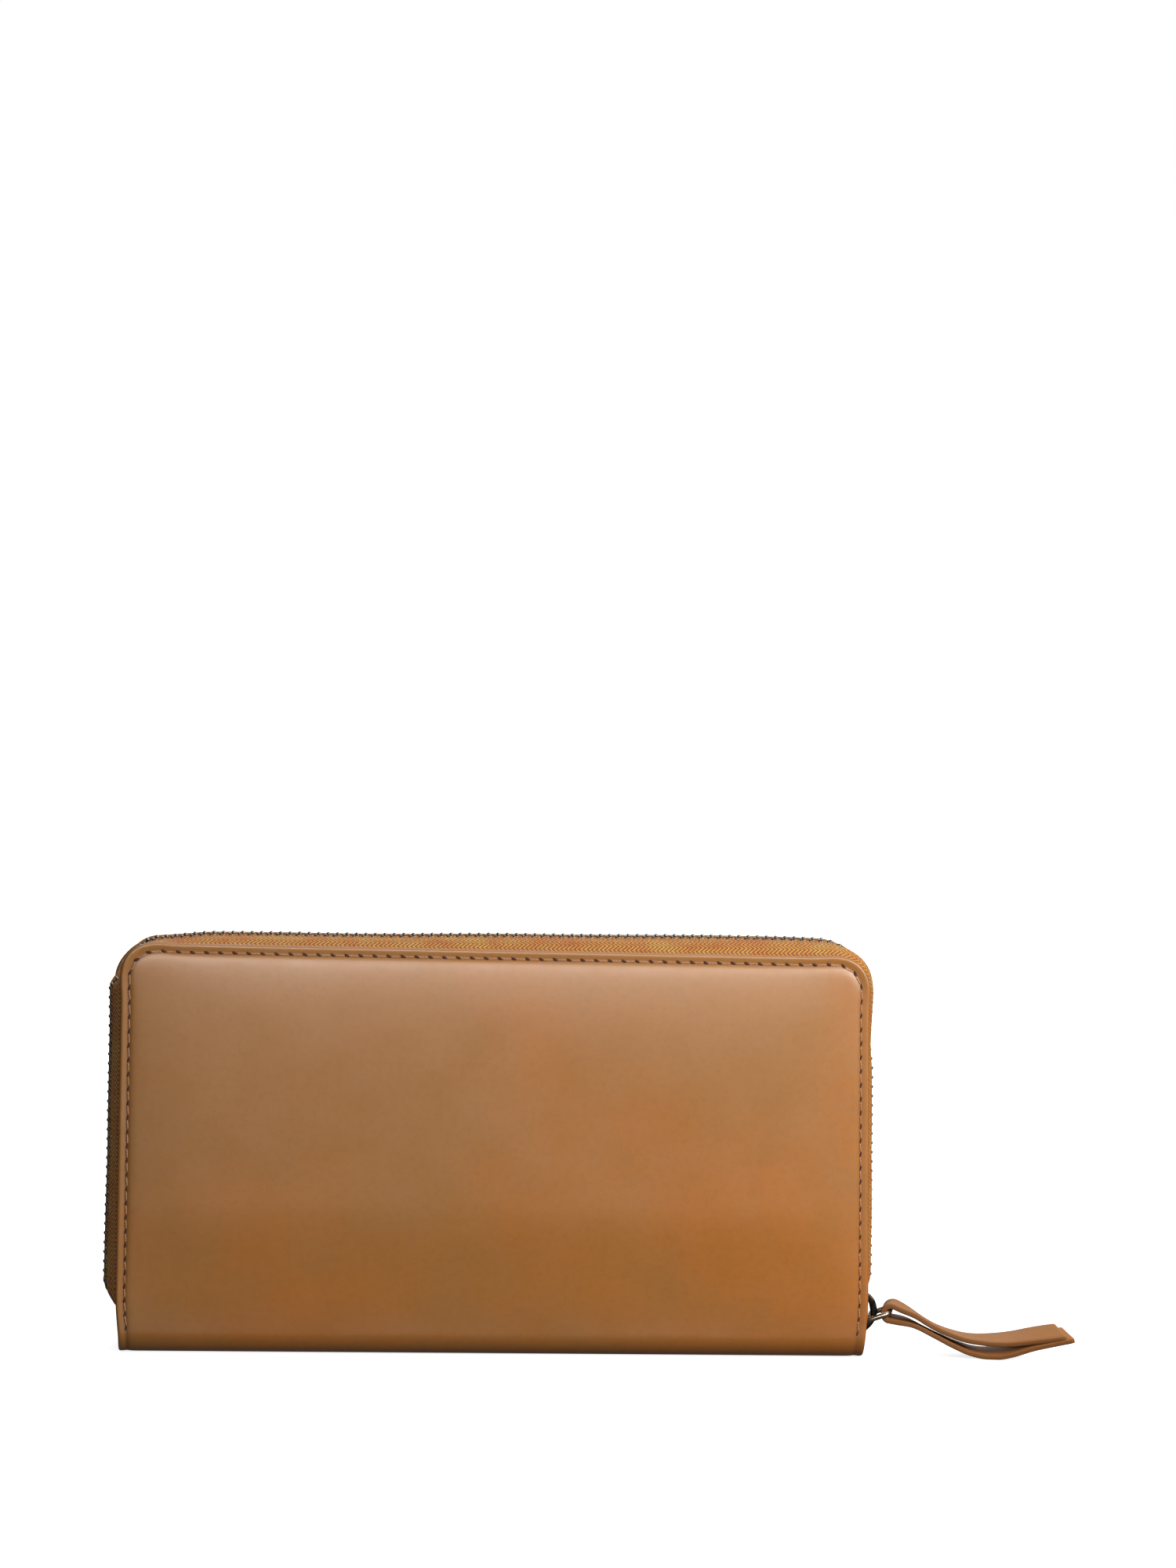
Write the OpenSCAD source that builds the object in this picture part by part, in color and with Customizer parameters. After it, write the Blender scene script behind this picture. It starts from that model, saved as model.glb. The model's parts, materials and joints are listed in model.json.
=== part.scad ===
// Zip-around long wallet, closed and standing on its spine.
// Millimetres. Origin: middle of the spine's underside. +X right, -Y front, +Z up.
// "Depth" is the distance in front of the middle plane, so the back is the front mirrored.

/* [Covers] */
// Width of the covers
wallet_w = 195; // [185:1:205]
// Height from the spine to the top edge
wallet_h = 105; // [100:1:112]
// Thickness of the closed wallet
wallet_t = 24; // [24:0.5:26]
// Radius of the covers' top corners
corner_r = 11; // [10:0.5:13]
// Outside radius of the two folds beside the spine
spine_r = 6; // [5.5:0.5:6.5]
// Thickness of the outer leather
leather_t = 1.3; // [1.1:0.1:1.4]
// Thickness of the lining
lining_t = 0.5; // [0.4:0.1:0.6]

/* [Stitching] */
// Distance from the cover's edge to the stitches
stitch_inset = 2.2; // [1.8:0.1:3]
// Distance from one stitch to the next
stitch_pitch = 3.6; // [3:0.1:4.5]
// Thickness of the thread
thread_t = 0.5; // [0.3:0.1:0.6]

/* [Card slots and coin pocket] */
// Thickness of each card slot
slot_t = 0.5; // [0.4:0.1:0.5]
// Step in height from one card slot to the next
slot_step = 12; // [10:1:13]
// Inside depth of the coin pocket
pocket_gap = 4.4; // [4.2:0.1:5]
// Thickness of the coin pocket's walls
wall_t = 0.6; // [0.5:0.1:0.7]

/* [Main zip] */
// Thickness of the zip tape
tape_t = 0.6; // [0.5:0.05:0.6]
// Distance from one tooth to the next on the same tape
tooth_pitch = 2.45; // [2.3:0.05:2.8]
// How far the line of teeth stands outside the covers' edge
chain_out = 1.2; // [1:0.1:1.6]
// Inward lean of the right-hand run of the zip, in degrees
zip_lean = 1.7; // [1:0.1:2]
// Height of the slider's middle when the zip is shut
slider_z = 10.5; // [10:0.5:12]

/* [Pull] */
// Thickness of the ring's wire
ring_wire = 1.4; // [1.2:0.1:1.5]
// Length of the ring between its two end bars
ring_l = 6.6; // [6.5:0.1:7]
// Width of the leather strap
strap_w = 9.5; // [8:0.5:9.5]
// Thickness of the leather strap
strap_t = 1.25; // [1.1:0.05:1.25]
// How far the pull points to the front of the wallet's plane, in degrees
pull_yaw = 12; // [0:1:12]

/* [Hidden] */
$fn = 48;
SIDES = ["front", "back"];

tan = "#a06f3f";
tan_edge = "#8a5a2e";
lining_brown = "#6b4a33";
tape_orange = "#b9803f";
thread_tan = "#c08a4c";
board_grey = "#8d8478";
gunmetal = "#3b3733";
bronze = "#a09488";

// Covers
half_w = wallet_w / 2;
half_t = wallet_t / 2;
arc_x = half_w - corner_r;
arc_z = wallet_h - corner_r;
fold_angle = 45;
fold_depth = half_t - spine_r;
leather_in = half_t - leather_t;
lining_out = leather_in - tape_t;
lining_in = lining_out - lining_t;
lining_margin = 4.5;
lining_bottom = 8;
board_margin = 11.5;
board_bottom = 12;
stitch_r = corner_r - stitch_inset;
stitch_bottom = 10;
stitch_l = 2.6;
thread_proud = 0.25;

// Card slots, from the lining inwards
slot_half_w = 84.5;
slot_bottom = 12;
slot_top = wallet_h - 15;

// Coin pocket
wall_in = pocket_gap / 2;
wall_out = wall_in + wall_t;
wall_half_w = 91;
pocket_half_w = 84;
base_t = 2;
pocket_bottom = leather_t + lining_t + base_t;
pocket_top = 90;

// Coin zip
coin_tape_t = 0.5;
coin_tape_low = 84;
coin_zip_z = 93.85;
coin_tape_edge = 1.2;
coin_pitch = 2;
coin_tooth = [0.85, 2.4, 1.6];
coin_slider_x = 77;
coin_slider_l = 7;
coin_slider_half_w = 2.5;
coin_plate_t = 0.6;
coin_gap = 2.2;
coin_slot = 1;
coin_pivot_z = coin_zip_z + 2.65;
coin_pull_l = 8.4;
coin_pull_w = 4;

// Gussets
gusset_t = 0.4;
gusset_bottom = 6;
gusset_top = 88;

// Main zip: radii are measured from the centres of the covers' corners
chain_r = corner_r + chain_out;
tape_in_r = 5;
tape_edge = 2.2;
tape_flat = 5;
corner_steps = 12;
left_end_z = 13.7;
right_end_z = 3;
left_run = arc_z - left_end_z;
right_run = (arc_z - chain_r * sin(zip_lean) - right_end_z) / cos(zip_lean);
tooth = [2.2, 1, 3.6];
tooth_reach = 0.7;
tape_slot = tape_t + 0.06;
stop = [1, 1.6, 2];
chain_top_x = arc_x + chain_r * cos(zip_lean);
chain_top_z = arc_z - chain_r * sin(zip_lean);
slider_drop = (chain_top_z - slider_z) / cos(zip_lean);
slider_x = chain_top_x - slider_drop * sin(zip_lean);

// Slider, in its own frame: x away from the wallet, z up along the zip
slider_half_l = 4.7;
slider_gap = 1.3;
slider_plate = 0.8;
slider_slot = 0.75;
slider_rim = 0.6;
slider_left = [[-3.75, slider_half_l], [-4.1, 0.6], [-4.1, -3.4], [-3.2, -slider_half_l]];
slider_outline = concat(slider_left, [for (i = [3 : -1 : 0]) [-slider_left[i].x, slider_left[i].y]]);
bridge_w = 2.2;
bridge_r = 4.85;
bridge_x = 1.7;
bridge_z = 0.2;
eye_r = 2.7;
eye_z = -1.4;

// Pull
ring_x = slider_x + 3.7;
ring_z = slider_z - 1.6;
ring_rise = 21;
ring_half_w = 5.85;
ring_bend = 1.6;
fold_in_r = 0.95;
fold_tilt = 25;
fold_mid_r = fold_in_r + strap_t / 2;
strap_u = ring_l * cos(ring_rise);
strap_z = ring_z + ring_l * sin(ring_rise);
fold_x = fold_mid_r * sin(fold_tilt);
fold_z = fold_mid_r * cos(fold_tilt);
// The two layers of the strap beyond the fold: distance from the ring's far bar, and height
upper_layer = [
  [fold_x, strap_z + fold_z], [5, 10.05], [12, 7.3], [20, 4.9], [27, 4.3], [34, 5], [42, 6.9]
];
lower_layer = [
  [-fold_x, strap_z - fold_z], [4.4, 8.65], [12, 5.7], [20, 2.1], [27, 0.8], [34, 2.4], [45, 6.2]
];

// ---------- helpers ----------

// Stands a drawing up: its x stays, its y becomes height and its z becomes depth to the front.
module upright() rotate([90, 0, 0]) children();

// A sheet between two depths, cut to the outline given as its child.
module sheet(inner, outer) upright() translate([0, 0, inner]) linear_extrude(outer - inner) children();

// A long piece across the wallet; its profile is drawn as depth and height.
module across(from, to) translate([(from + to) / 2, 0, 0]) rotate([90, 0, -90])
  linear_extrude(to - from, center = true) children();

// Draws its child as it is for the front, and mirrored for the back.
module on_side(side) mirror([0, side == "back" ? 1 : 0, 0]) children();

module round_topped(half_width, bottom, top, r) {
  translate([-half_width, bottom]) square([2 * half_width, top - r - bottom]);
  translate([r - half_width, bottom]) square([2 * (half_width - r), top - bottom]);
  for (side = [-1, 1]) translate([side * (half_width - r), top - r]) circle(r);
}

module ring_sector(r_in, r_out, from, to) intersection() {
  difference() {
    circle(r_out);
    circle(r_in);
  }
  polygon([
    [0, 0],
    2 * r_out * [cos(from), sin(from)],
    3 * r_out * [cos((from + to) / 2), sin((from + to) / 2)],
    2 * r_out * [cos(to), sin(to)]
  ]);
}

// A path up the left side, round the top and down the right side, at radius r round the corners.
function quarter(r, turn = 90) = r * turn * PI / 180;
function corner_1(left) = left;
function top_1(left, r) = left + quarter(r);
function corner_2(left, r) = top_1(left, r) + 2 * arc_x;
function right_1(left, r, lean) = corner_2(left, r) + quarter(r, 90 + lean);
function rim_angle(s, left, r, lean) =
  s < corner_1(left) ? 180
  : s < top_1(left, r) ? 180 - (s - left) / quarter(r) * 90
  : s < corner_2(left, r) ? 90
  : s < right_1(left, r, lean) ? 90 - (s - corner_2(left, r)) / quarter(r) * 90
  : -lean;
function rim_base(s, left, r, lean) =
  s < corner_1(left) ? [-arc_x, arc_z - left + s]
  : s < top_1(left, r) ? [-arc_x, arc_z]
  : s < corner_2(left, r) ? [s - top_1(left, r) - arc_x, arc_z]
  : s < right_1(left, r, lean) ? [arc_x, arc_z]
  : [arc_x, arc_z] - (s - right_1(left, r, lean)) * [sin(lean), cos(lean)];

// Puts a copy of its child at each place: its x points outwards and its z to the front.
module along_rim(places, left, r, lean) upright() for (s = places) {
  angle = rim_angle(s, left, r, lean);
  base = rim_base(s, left, r, lean);
  translate([base.x + r * cos(angle), base.y + r * sin(angle), 0]) rotate(angle) children();
}

// The line of teeth, cut into stations: the two ends, and a few steps round each corner.
function zip_length() = right_1(left_run, chain_r, zip_lean) + right_run;
function zip_stations() = [
  0,
  for (i = [0 : corner_steps])
    left_run + quarter(chain_r) * i / corner_steps,
  for (i = [0 : corner_steps])
    corner_2(left_run, chain_r) + quarter(chain_r, 90 + zip_lean) * i / corner_steps,
  zip_length()
];

// Sweeps a profile of radius and depth along the teeth. The right-hand end is cut at a slant:
// it rises by slant for each millimetre of depth. The profile lists the band's outer points
// from one edge to the other, then its inner points back again.
module sweep_zip(profile, slant) {
  stations = zip_stations();
  size = len(profile);
  last = len(stations) - 1;
  points = [
    for (k = [0 : last], p = profile)
      let (angle = rim_angle(stations[k], left_run, chain_r, zip_lean))
      let (base = rim_base(stations[k], left_run, chain_r, zip_lean))
      let (rise = k == last ? slant * (p.y - tape_edge) : 0)
      [base.x + p.x * cos(angle), base.y + p.x * sin(angle) + rise, p.y]
  ];
  sides = [
    for (k = [0 : last - 1], j = [0 : size - 1])
      let (next = (j + 1) % size)
      [k * size + j, k * size + next, (k + 1) * size + next, (k + 1) * size + j]
  ];
  near_end = [for (j = [0 : size / 2 - 2]) [size - 1 - j, size - 2 - j, j + 1, j]];
  far_end = [
    for (j = [0 : size / 2 - 2])
      [for (v = [j, j + 1, size - 2 - j, size - 1 - j]) last * size + v]
  ];
  upright() polyhedron(points, concat(sides, near_end, far_end));
}

// A smooth curve through points, and a band of even thickness along it.
function catmull(p, q, r, s, t) =
  0.5 * (2 * q + (r - p) * t + (2 * p - 5 * q + 4 * r - s) * t * t + (3 * q - p - 3 * r + s) * t * t * t);
function smooth(points, steps) = [
  for (i = [0 : len(points) - 2], k = [0 : steps - 1])
    catmull(points[max(i - 1, 0)], points[i], points[i + 1], points[min(i + 2, len(points) - 1)], k / steps),
  points[len(points) - 1]
];
function heading(points, i) = points[min(i + 1, len(points) - 1)] - points[max(i - 1, 0)];
function beside(points, i, gap) =
  let (along = heading(points, i)) points[i] + gap * [-along.y, along.x] / norm(along);

module band(points, thickness) {
  last = len(points) - 1;
  polygon([
    for (i = [0 : last]) beside(points, i, thickness / 2),
    for (i = [last : -1 : 0]) beside(points, i, -thickness / 2)
  ]);
}

// ---------- spine ----------

module spine_leather() color(tan) across(-half_w, half_w) for (side = [0, 1]) mirror([side, 0]) {
  square([fold_depth, leather_t]);
  translate([fold_depth, spine_r]) ring_sector(spine_r - leather_t, spine_r, -90, -fold_angle);
}

module spine_lining() color(lining_brown) across(-wall_half_w, wall_half_w)
  translate([-fold_depth, leather_t]) square([2 * fold_depth, lining_t]);

// ---------- coin pocket ----------

module coin_pocket_base() color(lining_brown)
  translate([-wall_half_w, -wall_out, leather_t + lining_t]) cube([2 * wall_half_w, 2 * wall_out, base_t]);

module coin_pocket_wall() color(lining_brown) sheet(wall_in, wall_out)
  translate([-wall_half_w, pocket_bottom]) square([2 * wall_half_w, pocket_top - pocket_bottom]);

module coin_pocket_end() color(lining_brown)
  translate([pocket_half_w, -wall_in, pocket_bottom]) cube([wall_t, 2 * wall_in, pocket_top - pocket_bottom]);

module coin_zip_tape() color(tape_orange) across(-pocket_half_w, pocket_half_w) {
  top = coin_zip_z + coin_tape_t / 2;
  translate([wall_out, coin_tape_low]) square([coin_tape_t, top - coin_tape_low]);
  translate([coin_tape_edge, top - coin_tape_t])
    square([wall_out + coin_tape_t - coin_tape_edge, coin_tape_t]);
}

module coin_zip_tooth() difference() {
  translate([-coin_tooth.x / 2, -0.5, -coin_tooth.z / 2]) cube(coin_tooth);
  translate([-coin_tooth.x, coin_tape_edge, -coin_tape_t / 2])
    cube([2 * coin_tooth.x, coin_tooth.y, coin_tape_t]);
}

module coin_zip_teeth() color(gunmetal) for (x = [-80 : coin_pitch : coin_slider_x - 1]) {
  translate([x, 0, coin_zip_z]) mirror([0, 1, 0]) coin_zip_tooth();
  translate([x + coin_pitch / 2, 0, coin_zip_z]) coin_zip_tooth();
}

module coin_zip_stops() color(gunmetal) for (side = [-1, 1])
  translate([side * (pocket_half_w - 1.2), 0, coin_zip_z])
    cube([1.6, 2 * coin_tape_edge, 1.4], center = true);

module coin_slider_plate() linear_extrude(coin_plate_t) intersection() {
  square([coin_slider_l, 2 * coin_slider_half_w], center = true);
  circle(coin_slider_l / 2 + 0.4);
}

module coin_zip_slider() color(gunmetal) translate([coin_slider_x, 0, coin_zip_z]) {
  rim_h = (coin_gap - coin_slot) / 2;
  for (side = [0, 1]) mirror([0, 0, side]) {
    translate([0, 0, coin_gap / 2]) coin_slider_plate();
    for (edge = [-1, 1]) translate([0, edge * (coin_slider_half_w - 0.25), coin_slot / 2 + rim_h / 2])
      cube([coin_slider_l - 1.4, 0.5, rim_h], center = true);
  }
  translate([0, 0, -coin_gap / 2]) linear_extrude(coin_gap)
    polygon([[0.8, 0], [2, 0.5], [3.3, 0.5], [3.3, -0.5], [2, -0.5]]);
  upright() linear_extrude(1.2, center = true) difference() {
    intersection() {
      translate([0, coin_gap / 2 + coin_plate_t]) circle(2.3);
      translate([-3, coin_gap / 2 + coin_plate_t]) square([6, 3]);
    }
    translate([0, coin_pivot_z - coin_zip_z - 0.5]) circle(1.1);
  }
}

module coin_zip_pull() color(bronze) translate([coin_slider_x, 0, coin_pivot_z]) {
  rotate([90, 0, 0]) cylinder(h = coin_pull_w, r = 0.4, center = true);
  difference() {
    translate([0, 0, -0.4]) linear_extrude(0.8) {
      translate([0, -coin_pull_w / 2]) square([coin_pull_l - coin_pull_w / 2, coin_pull_w]);
      translate([coin_pull_l - coin_pull_w / 2, 0]) circle(coin_pull_w / 2);
    }
    translate([-1, -1, -1]) cube([4.2, 2, 0.6]);
    translate([0.3, -1, -1]) cube([2.9, 2, 2]);
    translate([-1, -1, 0.4]) cube([4.2, 2, 0.6]);
  }
}

// ---------- gussets ----------

module gusset(side) color(lining_brown) mirror([side == "left" ? 1 : 0, 0, 0])
  translate([0, 0, gusset_bottom]) mirror([0, 1, 0]) linear_extrude(gusset_top - gusset_bottom)
    band([[91.6, 9.1], [86, 6.1], [90.6, 3.15]], gusset_t);

// ---------- covers ----------

module cover_leather(side) color(tan) on_side(side) {
  sheet(leather_in, half_t) round_topped(half_w, spine_r, wallet_h, corner_r);
  across(-half_w, half_w) translate([fold_depth, spine_r])
    ring_sector(spine_r - leather_t, spine_r, -fold_angle, 0);
}

module cover_board(side) color(board_grey) on_side(side) sheet(lining_out, leather_in)
  round_topped(half_w - board_margin, board_bottom, wallet_h - board_margin, 3);

module cover_lining(side) color(lining_brown) on_side(side) sheet(lining_in, lining_out)
  round_topped(half_w - lining_margin, lining_bottom, wallet_h - lining_margin, corner_r - lining_margin);

module cover_stitching(side) {
  left = arc_z - stitch_bottom;
  count = floor((right_1(left, stitch_r, 0) + left) / stitch_pitch);
  color(thread_tan) on_side(side)
    along_rim([for (i = [0 : count]) i * stitch_pitch], left, stitch_r, 0)
      translate([0, 0, half_t + thread_proud / 2]) cube([thread_t, stitch_l, thread_proud], center = true);
}

module card_slot(side, index) {
  outer = lining_in - (index - 1) * slot_t;
  top = slot_top - (index - 1) * slot_step;
  color(tan_edge) on_side(side) sheet(outer - slot_t, outer)
    translate([-slot_half_w, slot_bottom]) square([2 * slot_half_w, top - slot_bottom]);
}

// ---------- main zip ----------

// The tape lies under the leather, bends up at the cover's edge and ends flat beside the teeth.
tape_profile = [
  [tape_in_r, leather_in],
  [corner_r - 0.7, leather_in],
  [chain_r + tape_t / 2, tape_flat],
  [chain_r + tape_t / 2, tape_edge],
  [chain_r - tape_t / 2, tape_edge],
  [chain_r - tape_t / 2, tape_flat - 0.3],
  [corner_r - 1.1, lining_out],
  [tape_in_r, lining_out]
];

module zip_tape(side) color(tape_orange) on_side(side) sweep_zip(tape_profile, 0.65);

module zip_tooth() difference() {
  translate([-tooth.x / 2, -tooth.y / 2, -tooth_reach]) cube(tooth);
  translate([-tape_slot / 2, -tooth.y, tape_edge]) cube([tape_slot, 2 * tooth.y, tooth.z]);
}

function chain_length() = right_1(left_run, chain_r, zip_lean) + slider_drop;

module zip_teeth(side) {
  last = chain_length() - 0.7 - (side == "back" ? tooth_pitch / 2 : 0);
  count = floor((last - 2 * stop.y) / tooth_pitch);
  color(gunmetal) on_side(side)
    along_rim([for (i = [0 : count]) last - i * tooth_pitch], left_run, chain_r, zip_lean) zip_tooth();
}

module zip_stop() difference() {
  translate([-stop.x / 2, -stop.y / 2, tape_edge - 0.6]) cube(stop);
  translate([-tape_slot / 2, -stop.y, tape_edge]) cube([tape_slot, 2 * stop.y, stop.z]);
}

module zip_stops(side) color(gunmetal) on_side(side)
  along_rim([stop.y, chain_length() + slider_half_l + stop.y / 2 + 0.1], left_run, chain_r, zip_lean)
    zip_stop();

// Draws its child in the slider's frame.
module at_slider() translate([slider_x, 0, slider_z]) rotate([0, zip_lean, 0]) children();

// A plate or rim of the slider between two distances from the middle of the teeth.
module slider_layer(from, to) translate([from, 0, 0])
  rotate([90, 0, 90]) linear_extrude(to - from) children();

module slider_rim_outline() difference() {
  polygon(slider_outline);
  polygon([for (p = slider_outline) [p.x - sign(p.x) * slider_rim, p.y + sign(p.y) * 0.1]]);
}

module zip_slider() color(gunmetal) at_slider() {
  for (side = [0, 1]) mirror([side, 0, 0]) {
    slider_layer(slider_gap, slider_gap + slider_plate) polygon(slider_outline);
    slider_layer(slider_slot, slider_gap) slider_rim_outline();
  }
  slider_layer(-slider_gap, slider_gap)
    polygon([[0, -0.9], [0.9, -2.6], [0.9, -4.6], [-0.9, -4.6], [-0.9, -2.6]]);
  upright() linear_extrude(bridge_w, center = true) difference() {
    intersection() {
      translate([bridge_x, bridge_z]) circle(bridge_r);
      translate([slider_gap + slider_plate, -6]) square([6, 12]);
    }
    translate([slider_gap + slider_plate, eye_z]) circle(eye_r);
  }
}

// ---------- pull ----------

// Draws its child with x along the pull and the ring's near bar at the origin.
module at_pull() translate([ring_x, 0, ring_z]) rotate([0, 0, -pull_yaw]) children();

module pull_ring() color(bronze) at_pull() rotate([0, -ring_rise, 0]) {
  straight_y = 2 * (ring_half_w - ring_bend);
  for (x = [0, ring_l]) translate([x, 0, 0])
    rotate([90, 0, 0]) cylinder(h = straight_y, d = ring_wire, center = true);
  for (side = [-1, 1]) translate([0, side * ring_half_w, 0]) {
    translate([ring_bend, 0, 0]) rotate([0, 90, 0]) cylinder(h = ring_l - 2 * ring_bend, d = ring_wire);
    for (end = [0, 1]) translate([end * ring_l, 0, 0])
      mirror([end, 0, 0]) mirror([0, side == 1 ? 0 : 1, 0])
        translate([ring_bend, -ring_bend, 0]) rotate(90) rotate_extrude(angle = 90)
          translate([ring_bend, 0]) circle(d = ring_wire);
  }
}

module strap_piece() linear_extrude(strap_w, center = true) children();

module pull_strap() color(tan) at_pull() upright() {
  translate([strap_u, strap_z - ring_z, 0]) rotate(-fold_tilt) for (start = [80, 180])
    strap_piece() ring_sector(fold_in_r, fold_in_r + strap_t, start, start + 100);
  for (layer = [upper_layer, lower_layer])
    translate([strap_u, -ring_z, 0]) strap_piece() band(smooth(layer, 4), strap_t);
}

// ---------- assembly ----------

spine_leather();
spine_lining();
coin_pocket_base();
coin_pocket_wall();  // coin_pocket_front
on_side("back") coin_pocket_wall();  // coin_pocket_back
mirror([1, 0, 0]) coin_pocket_end();  // coin_pocket_end_left
coin_pocket_end();  // coin_pocket_end_right
coin_zip_tape();  // coin_zip_tape_front
on_side("back") coin_zip_tape();  // coin_zip_tape_back
coin_zip_teeth();
coin_zip_stops();
coin_zip_slider();
coin_zip_pull();
for (side = SIDES) {
  on_side(side) gusset("left");
  on_side(side) gusset("right");
  cover_leather(side);
  cover_board(side);
  cover_lining(side);
  cover_stitching(side);
  for (index = [1 : 4])
    card_slot(side, index);
  zip_tape(side);
  zip_teeth(side);
  zip_stops(side);
}
zip_slider();
pull_ring();
pull_strap();
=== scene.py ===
"""Zip-around leather wallet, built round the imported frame.

Sizes and places in the code are millimetres, in the frame's own axes. "Depth" is the distance in
front of the middle plane for the front cover, and behind it for the back cover.
"""
import json
import math

import bmesh
import bpy
from mathutils import Matrix, Vector, noise


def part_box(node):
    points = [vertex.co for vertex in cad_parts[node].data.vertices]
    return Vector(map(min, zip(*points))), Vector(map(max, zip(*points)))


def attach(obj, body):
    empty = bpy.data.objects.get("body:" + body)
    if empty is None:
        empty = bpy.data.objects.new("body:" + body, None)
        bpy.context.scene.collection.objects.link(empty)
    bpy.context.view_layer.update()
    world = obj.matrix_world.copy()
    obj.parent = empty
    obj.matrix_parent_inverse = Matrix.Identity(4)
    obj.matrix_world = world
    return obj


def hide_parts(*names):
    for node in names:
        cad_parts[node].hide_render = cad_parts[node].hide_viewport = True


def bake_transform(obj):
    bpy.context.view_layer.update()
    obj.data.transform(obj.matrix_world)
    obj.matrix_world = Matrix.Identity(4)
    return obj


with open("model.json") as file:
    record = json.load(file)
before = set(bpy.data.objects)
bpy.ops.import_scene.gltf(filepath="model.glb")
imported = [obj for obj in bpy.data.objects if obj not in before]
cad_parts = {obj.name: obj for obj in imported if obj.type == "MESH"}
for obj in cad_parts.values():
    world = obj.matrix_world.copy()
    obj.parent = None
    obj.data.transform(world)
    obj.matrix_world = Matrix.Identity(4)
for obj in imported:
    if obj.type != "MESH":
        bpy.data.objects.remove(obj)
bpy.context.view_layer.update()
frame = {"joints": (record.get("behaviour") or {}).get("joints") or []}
MM = 0.001
SIDES = {"front": -1, "back": 1}
ENDS = {"left": -1, "right": 1}
JOINTS = {joint["name"]: joint for joint in frame["joints"]}
UP = Vector((0, 0, 1))


def box_mm(node):
    """Lowest and highest corner of a CAD node."""
    low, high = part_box(node)
    return [c / MM for c in low], [c / MM for c in high]


# ---------- dimensions ----------

cover_low, cover_high = box_mm("front_leather")
HALF_W = cover_high[0]
HEIGHT = cover_high[2]
HALF_T = -cover_low[1]
CORNER_R = 11.0
ARC_X = HALF_W - CORNER_R
ARC_Z = HEIGHT - CORNER_R
FOLD_R = 6.0
FOLD_DEPTH = HALF_T - FOLD_R

# Outer face of the leather: its edge, its stitched groove and its padded crown
EDGE_DEPTH = HALF_T - 0.3
EDGE_CREST = 0.2
CREST_INSET = 0.5
STITCH_INSET = 2.3
GROOVE = 0.16
LIP = 0.5
LIP_REACH = 0.8
DOME = 2.6
DOME_REACH = 12.0

TOP_SKEW = 1.7

STITCH_PITCH = 3.6
STITCH_BOTTOM = 6.8
STITCH_R = CORNER_R - STITCH_INSET

# Main zip: the line of teeth goes up the left, round the top and down the right
TOOTH_PITCH = 2.45
CAD_TOOTH_HALF = 1.1
TOOTH_HALF = 0.7
TAPE_EDGE = 2.2
LEFT_END = 13.7
LEFT_TURN_IN = 2.2
CORNER_SAG = 0.6
RIGHT_END = box_mm("front_zip_tape")[0][2]
SLIDER_Z = 10.5
SLIDER_HALF_L = 4.7
LEAN = math.asin(JOINTS["zip_slide"]["axis"][0])
CHAIN_R = box_mm("front_zip_teeth")[1][2] - CAD_TOOTH_HALF - ARC_Z
LEFT_RUN = ARC_Z - LEFT_END
TOP_START = LEFT_RUN + CHAIN_R * math.pi / 2
TOP_END = TOP_START + 2 * ARC_X
RIGHT_START = TOP_END + CHAIN_R * (math.pi / 2 + LEAN)
CHAIN_TOP_X = ARC_X + CHAIN_R * math.cos(LEAN)
CHAIN_TOP_Z = ARC_Z - CHAIN_R * math.sin(LEAN)
SLIDER_DROP = (CHAIN_TOP_Z - SLIDER_Z) / math.cos(LEAN)
SLIDER_X = CHAIN_TOP_X - SLIDER_DROP * math.sin(LEAN)
CHAIN_END = RIGHT_START + SLIDER_DROP
TAPE_END = RIGHT_START + (CHAIN_TOP_Z - RIGHT_END) / math.cos(LEAN)

# Pull: the ring turns in the slider's bridge, and the strap on the ring's far bar
RING_AT = Vector(JOINTS["ring_swing"]["pos_m"]) / MM
STRAP_AT = Vector(JOINTS["strap_swing"]["pos_m"]) / MM
RING_WIRE_R = 0.7
RING_HALF_W = 5.85
RING_BEND = 1.6
STRAP_W = 9.5
STRAP_T = 1.25
FOLD_MID_R = 1.38 + STRAP_T / 2
FOLD_SHIFT = (0.45, -0.35)
STRAP_END_SLANT = 0.36
FOLD_TILT = math.radians(25)


# ---------- small helpers ----------

def srgb(*levels):
    """A linear colour from the 0 to 255 levels of a screen colour."""
    return tuple(((c / 255 + 0.055) / 1.055) ** 2.4 for c in levels)


def smoothstep(x):
    x = min(max(x, 0.0), 1.0)
    return x * x * (3 - 2 * x)


def between(x, low, high):
    """Smooth 0 to 1 as x goes from low to high."""
    return smoothstep((x - low) / (high - low))


def bell(x, middle, width):
    """1 at the middle, dying away on both sides."""
    return math.exp(-((x - middle) / width) ** 2)


def lerp(a, b, t):
    return a + (b - a) * t


def spaced(low, high, steps):
    """Evenly spaced values from low to high, both included."""
    return [lerp(low, high, i / steps) for i in range(steps + 1)]


def curve_at(knots, x):
    """Smooth interpolation through rising (x, y) knots."""
    if x <= knots[0][0]:
        return knots[0][1]
    for (x0, y0), (x1, y1) in zip(knots, knots[1:]):
        if x <= x1:
            return lerp(y0, y1, smoothstep((x - x0) / (x1 - x0)))
    return knots[-1][1]


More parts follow.
